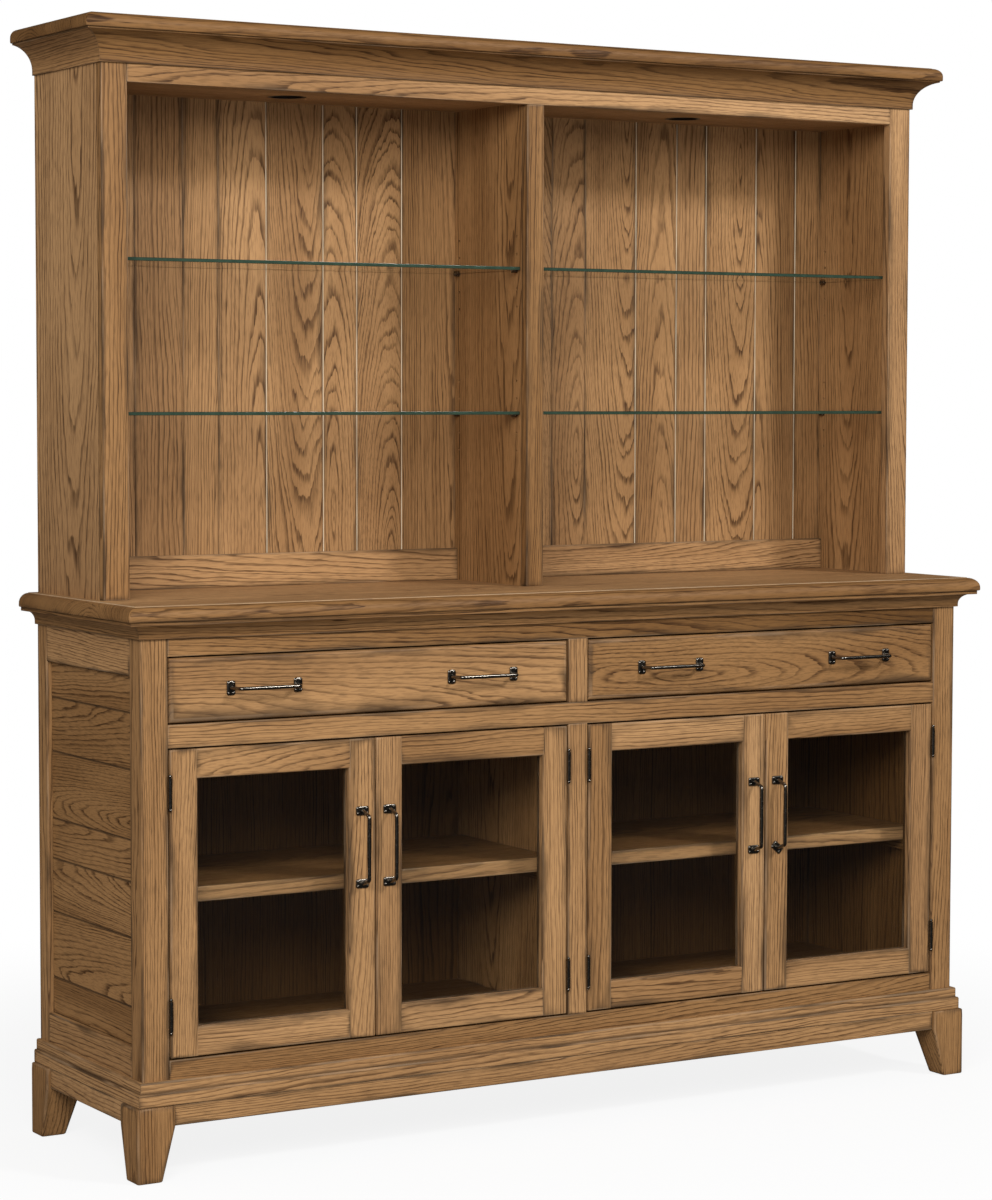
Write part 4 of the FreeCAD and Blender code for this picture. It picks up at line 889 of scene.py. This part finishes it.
bronze = plain_material("dark_bronze", (0.19, 0.17, 0.145), 0.26, metallic=1.0, mottle=0.06, scale=140.0)
dress("shelf_pins", bronze)

# Doors: oak stiles and rails with a small bevel on the inner edge, the rails fitted over the bevel of the
# stiles, and clear glass in a groove well behind the face.
door_glass = glass_material("door_glass", (0.95, 0.97, 0.95), passed=0.92)
door_stile, door_rail, slope, door_depth, groove_depth = 0.051, 0.050, 0.0015, 0.022, 0.008
groove_front, groove_rear = 0.014, 0.0186
door_eases = (0.0022, 0.0008, 0.0006, 0.0003, 0.0002, 0.0002, 0.0003, 0.0008, 0.0015)
stile_end_ease, door_pane_ease = 0.0015, 0.0004
# Hands have smeared the glaze wider on the doors and drawers, so distances from an arris count as less. The
# wood that shows only through the glass is toned dark, as painted shade behind the glass, up to the eased
# edge of the rear face.
handled_share = 0.65
behind_glass_shade, rear_face = -2.8, door_depth - 0.0006


def door_section(width):
    """Section of a stile or rail from its outer edge inwards, the front at zero and depth to the rear."""
    inner = width - groove_depth
    corners = (
        (0, 0), (width - slope, 0), (width, slope), (width, groove_front), (inner, groove_front),
        (inner, groove_rear), (width, groove_rear), (width, door_depth), (0, door_depth),
    )
    return eased_outline(corners, door_eases)


stile_outline, rail_outline = door_section(door_stile), door_section(door_rail)
shoulder = door_stile - slope + np.clip(rail_outline[0][:, 1], 0, slope)
for door in ("door_left_outer", "door_left_inner", "door_right_inner", "door_right_outer"):
    low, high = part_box(f"{door}_frame")
    height, width = high[2] - low[2], high[0] - low[0]
    members = []
    for edge, across in ((low[0], 1), (high[0], -1)):
        shape = carried(stile_outline, 0.0, height, stile_end_ease, (edge, low[1], low[2]), 3, across, 2)
        members.append(figured(*shape, ALONG_Z, ALONG_Y))
    for edge, across in ((low[2], 3), (high[2], -3)):
        shape = carried(rail_outline, shoulder, width - shoulder, 0.0, (low[0], low[1], edge), 1, across, 2)
        members.append(figured(*shape, ALONG_X, ALONG_Y))
    for member in members:
        member["arris"] *= handled_share
        depth = member["points"][:, 1] - low[1]
        behind_glass = (depth > groove_front) & (depth < rear_face)
        member["tone_and_shade"] = np.where(behind_glass, behind_glass_shade, member["tone_and_shade"])
    fit_oak(f"{door}_woodwork", members, f"{door}_frame", door)
    pane = board(*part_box(f"{door}_glass"), ALONG_Z, ALONG_Y, door_pane_ease)
    assembled(f"{door}_pane", [pane], door_glass, door, f"{door}_glass")
    dress(f"{door}_hinge_leaves", bronze)

# Hinges: ball-tipped butt hinges of dark bronze, two to a door, with one leaf on the door and one on the
# frame. Their barrels stand just in front of the door's face.
dress("hinge_frame_leaves", bronze)
dress("hinge_pins", bronze)

# Pulls: a bent bar of dark bronze on two small pillowed plates, each held by a screw from behind. One plate
# on the right outer door has worked loose and turned.
pull_half, bend_half, bar_out, bar_radius, bend_radius = 0.0635, 0.056, 0.026, 0.0033, 0.006
swell_share, swell_reach, leg_sunk = 0.10, 0.030, 0.0005
plate_long, plate_short, plate_thickness, plate_corner = 0.025, 0.016, 0.004, 0.0035
plate_insets = np.array((0.0003, 0, 0, 0.0004, 0.0012, 0.0024, 0.0040))
plate_levels = np.array((0, 0.0004, 0.0014, 0.0020, 0.0024, 0.0027, 0.0029))
stud_radius, stud_x, stud_z, stud_foot, stud_turn = 0.0031, 0.0043, 0.0086, 0.0018, 0.96 * quarter


def pull_bar():
    """The bar, along the first axis and standing out along the second: two legs that lean inwards, two bends
    and a straight grip that swells a little in the middle, as rings of points round that path."""
    lean = math.atan2(pull_half - bend_half, bar_out - plate_thickness)
    swing = quarter - lean
    grip_end = bend_half - bend_radius * math.tan(swing / 2)
    grip = np.stack((np.linspace(0, grip_end, 9)[:-1], np.full(8, bar_out)), axis=-1)
    turn = np.linspace(0, swing, 9)
    bend_x, bend_y = grip_end + bend_radius * np.sin(turn), bar_out - bend_radius * (1 - np.cos(turn))
    bend = np.stack((bend_x, bend_y), axis=-1)
    leg_foot = np.array((pull_half, plate_thickness - leg_sunk))
    leg = bend[-1] + np.linspace(0, 1, 5)[1:, None] * (leg_foot - bend[-1])
    half_path = np.concatenate((grip, bend, leg))
    path = np.concatenate((half_path[:0:-1] * (-1, 1), half_path))
    way = np.gradient(path, axis=0)
    way /= np.linalg.norm(way, axis=1)[:, None]
    normal = np.stack((-way[:, 1], way[:, 0]), axis=-1)
    thick = bar_radius * (1 + swell_share * np.exp(-(path[:, 0] / swell_reach) ** 2))
    around = np.linspace(0, 2 * math.pi, 20, endpoint=False)
    rings = np.empty((len(path), len(around), 3))
    rings[..., :2] = path[:, None] + (thick[:, None] * np.cos(around))[..., None] * normal[:, None]
    rings[..., 2] = thick[:, None] * np.sin(around)
    return skin(rings)


def pull_plate():
    """A plate in its own plane and standing out along the second axis: rounded rectangles, each drawn in a
    little more than the one below, with a soft crown."""
    rings = []
    for inset, height in zip(plate_insets, plate_levels):
        x, z = plate_short / 2 - inset, plate_long / 2 - inset
        points = eased_outline(((-x, -z), (x, -z), (x, z), (-x, z)), plate_corner - inset * 0.5)[0]
        rings.append(np.insert(points, 1, height, axis=1))
    return skin(np.array(rings))


def plate_stud(x, z):
    """A low domed stud on a plate: circles that close in as the cosine of an angle while they rise as its
    sine."""
    angle = np.linspace(0, stud_turn, 7)
    around = np.linspace(0, 2 * math.pi, 24, endpoint=False)
    rings = np.empty((len(angle), len(around), 3))
    rings[..., 0] = x + stud_radius * np.cos(angle)[:, None] * np.cos(around)
    rings[..., 1] = (stud_foot + (plate_thickness - stud_foot) * np.sin(angle))[:, None]
    rings[..., 2] = z + stud_radius * np.cos(angle)[:, None] * np.sin(around)
    return skin(rings)


bar_shape = pull_bar()
plate_shapes = [pull_plate()] + [plate_stud(x, z) for x in (-stud_x, stud_x) for z in (-stud_z, stud_z)]


def pull(centre, upright_pull, turned=0.0):
    """A pull at a point of a front: the bar and its two plates, laid along X or turned upright. The plate on
    the lower or left side is turned by an angle."""
    pieces = [bar_shape]
    for side, angle in ((-1, turned), (1, 0.0)):
        cosine, sine = math.cos(angle), math.sin(angle)
        turn = np.array(((cosine, 0, -sine), (0, 1, 0), (sine, 0, cosine)))
        pieces += [(points @ turn.T + (side * pull_half, 0, 0), faces) for points, faces in plate_shapes]
    placed = []
    for points, faces in pieces:
        along, out, up = points.T
        x, z = (up, along) if upright_pull else (along, up)
        placed.append({"points": np.stack((x, -out, z), axis=-1) + centre, "faces": faces})
    return placed


inner_pull, outer_pull, door_pull_level = 0.388, 0.442, 0.536
pull_places = {
    "door_left_outer": -outer_pull, "door_left_inner": -inner_pull,
    "door_right_inner": inner_pull, "door_right_outer": outer_pull,
}
loose_angle = math.radians(40)
for door, x in pull_places.items():
    turned = loose_angle if door == "door_right_outer" else 0.0
    handle = pull((x, base_front, door_pull_level), True, turned)
    assembled(f"{door}_handle", handle, bronze, door, f"{door}_pull")

# Drawers: a solid oak front with a softly rounded bevel on its edges, on a plain hardwood box, with two
# pulls. The box runs on three-part steel slides.
drawer_wood = oak_material("drawer_wood", own_attributes)
slide_steel = plain_material("slide_steel", (0.55, 0.56, 0.58), 0.35, metallic=0.95, mottle=0.04, scale=60.0)
bevel_run, bevel_depth, drawer_corner_ease, drawer_pull_spread = 0.007, 0.006, 0.0015, 0.215
rear_ease, straight_start, face_rings = 0.001, 0.010, np.array((0.004, 0.012, 0.03))
rear_gaps, bevel_gaps, face_gaps = (0.01, 0.005, 0.004), (0.002, 0.001), (0.006, 0.016, 0.04)
wall, sheet_rise, sheet = 0.012, 0.008, 0.006
# Each drawer's figure and tone.
drawer_fronts = {"drawer_left": (0.45, 0.35), "drawer_right": (0.10, -0.50)}
for drawer, (figure, tone_and_shade) in drawer_fronts.items():
    low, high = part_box(f"{drawer}_front")
    thickness = high[1] - low[1]
    bend = np.linspace(0, quarter, 6)
    inset = np.concatenate(((rear_ease, 0, 0), bevel_run * (1 - np.cos(bend)), bevel_run + face_rings))
    rise = thickness - bevel_depth + bevel_depth * np.sin(bend)
    levels = np.concatenate(((0, rear_ease, straight_start), rise, np.full(len(face_rings), thickness)))
    gap = np.concatenate((rear_gaps, np.linspace(*bevel_gaps, len(bend)), face_gaps))
    shape = stacked(low, high, inset, levels, gap, -2, (1, 1, 1, 1), drawer_corner_ease)
    front = figured(*shape, ALONG_X, ALONG_Y, figure, tone_and_shade)
    front["arris"] *= handled_share ** 2
    fit_oak(f"{drawer}_face", [front], f"{drawer}_front", drawer)
    low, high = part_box(f"{drawer}_box")
    left, right, rear, sheet_low = low[0] + wall, high[0] - wall, high[1] - wall, low[2] + sheet_rise
    box_boards = [
        board(low, (left, high[1], high[2]), ALONG_Y, ALONG_X),
        board((right, low[1], low[2]), high, ALONG_Y, ALONG_X),
        board((left, rear, low[2]), (right, high[1], high[2]), ALONG_X, ALONG_Y),
        board((left, low[1], sheet_low), (right, rear, sheet_low + sheet), ALONG_X, ALONG_Z),
    ]
    assembled(f"{drawer}_inside", box_boards, drawer_wood, drawer, f"{drawer}_box")
    low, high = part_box(f"{drawer}_pulls")
    middle, pull_level = (low[0] + high[0]) / 2, (low[2] + high[2]) / 2
    handles = []
    for x in (middle - drawer_pull_spread, middle + drawer_pull_spread):
        handles += pull((x, base_front, pull_level), False)
    assembled(f"{drawer}_handles", handles, bronze, drawer, f"{drawer}_pulls")
    dress(f"{drawer}_middle_slides", slide_steel)
    dress(f"{drawer}_inner_slides", slide_steel)
dress("slide_cabinet_channels", slide_steel)

# Studio: a white floor that keeps a soft shadow, a white surround, one large soft lamp in front and to the
# left, a smaller one high on the right that draws the shadows of the pulls, and the camera where the
# photograph was taken.
scene = bpy.context.scene
scene.view_settings.view_transform = "Standard"
white = (1, 1, 1, 1)
# The paper as light from it reaches other things, as it shows in shiny ones, and as it is seen itself.
paper_around, paper_mirrored, paper_seen = (0.52, 0.52, 0.52, 1), (0.03, 0.03, 0.03, 1), (0.9, 0.9, 0.9, 1)
# The share of plain white in the paper next to the dresser and far from it, and the distances between.
paper_glow_near, paper_glow_far, glow_start, glow_end = 0.86, 1.0, 0.9, 2.2
surround_light, surround_mirrored = 0.28, 0.025
reach = 30.0
floor_corners = [(-reach, -reach, 0), (reach, -reach, 0), (reach, reach, 0), (-reach, reach, 0)]
floor_mesh = bpy.data.meshes.new("studio_floor")
floor_mesh.from_pydata(floor_corners, [], [(0, 1, 2, 3)])
floor = bpy.data.objects.new("studio_floor", floor_mesh)
scene.collection.objects.link(floor)


def plainly_seen(tree, path):
    """One where the camera looks straight at something, or through the two faces of one pane, else zero."""
    first_pane = calc(tree, "LESS_THAN", path["Ray Depth"], 2.5)
    through = calc(tree, "MULTIPLY", path["Is Transmission Ray"], first_pane)
    return calc(tree, "MAXIMUM", path["Is Camera Ray"], through)


paper, tree, plain_shader = new_material("studio_paper")
tree.nodes.remove(plain_shader)
path = shader_node(tree, "ShaderNodeLightPath").outputs
seen = plainly_seen(tree, path)
paper_colour = mixed(tree, path["Is Glossy Ray"], paper_around, paper_mirrored)
paper_colour = mixed(tree, seen, paper_colour, paper_seen)
matt = shader_node(tree, "ShaderNodeBsdfDiffuse", {"Color": paper_colour})
glow = shader_node(tree, "ShaderNodeEmission", {"Color": white, "Strength": 1.0})
spot = shader_node(tree, "ShaderNodeTexCoord").outputs["Object"]
distance = shader_node(tree, "ShaderNodeVectorMath", {0: spot}, operation="LENGTH").outputs["Value"]
glow_share = ramp(tree, distance, glow_start, glow_end, paper_glow_near, paper_glow_far)
glow_share = calc(tree, "MULTIPLY", seen, glow_share)
blend = shader_node(tree, "ShaderNodeMixShader", {0: glow_share, 1: matt.outputs[0], 2: glow.outputs[0]})
feed(tree, tree.nodes["Material Output"], {"Surface": blend.outputs[0]})
floor_mesh.materials.append(paper)
world = bpy.data.worlds.new("studio_surround")
scene.world = world
world.use_nodes = True
tree = world.node_tree
path = shader_node(tree, "ShaderNodeLightPath").outputs
surround = ramp(tree, path["Is Glossy Ray"], 0.0, 1.0, surround_light, surround_mirrored)
strength = calc(tree, "MAXIMUM", surround, plainly_seen(tree, path))
feed(tree, tree.nodes["Background"], {"Color": white, "Strength": strength})


def soft_lamp(name, place, aim, width, height, power):
    """An oblong soft lamp at a place, turned to a point."""
    lamp = bpy.data.lights.new(name, "AREA")
    lamp.shape = "RECTANGLE"
    lamp.size = width
    lamp.size_y = height
    lamp.energy = power
    holder = bpy.data.objects.new(name, lamp)
    scene.collection.objects.link(holder)
    way = np.array(place, float) - np.array(aim, float)
    way /= np.linalg.norm(way)
    holder.location = place
    holder.rotation_euler = (math.acos(way[2]), 0, math.atan2(way[0], -way[1]))


soft_lamp("key_lamp", place=(-3.5, -4.2, 3.2), aim=(0, 0, 1.1), width=3.6, height=2.2, power=274)
soft_lamp("shadow_lamp", place=(2.3, -4.0, 4.1), aim=(0, 0, 1.0), width=0.7, height=0.7, power=150)
camera_place = (-3.07069, -5.03729, 1.31962)
camera_yaw, camera_pitch, camera_roll = -30.926, -3.685, 0.0967
camera_data = bpy.data.cameras.new("photo_camera")
camera_data.sensor_fit = "VERTICAL"
camera_data.sensor_height = 36.0
camera_data.lens = 95.944
camera_data.clip_end = 100.0
camera = bpy.data.objects.new("photo_camera", camera_data)
scene.collection.objects.link(camera)
scene.camera = camera
yaw, pitch, roll = (math.radians(angle) for angle in (camera_yaw, camera_pitch, camera_roll))
right = np.array((math.cos(yaw), math.sin(yaw), 0))
ahead = np.array((-math.sin(yaw) * math.cos(pitch), math.cos(yaw) * math.cos(pitch), math.sin(pitch)))
above = np.cross(right, ahead)
pose = np.eye(4)
pose[:3, 0] = math.cos(roll) * right + math.sin(roll) * above
pose[:3, 1] = -math.sin(roll) * right + math.cos(roll) * above
pose[:3, 2] = -ahead
pose[:3, 3] = camera_place
camera.matrix_world = pose.T.tolist()
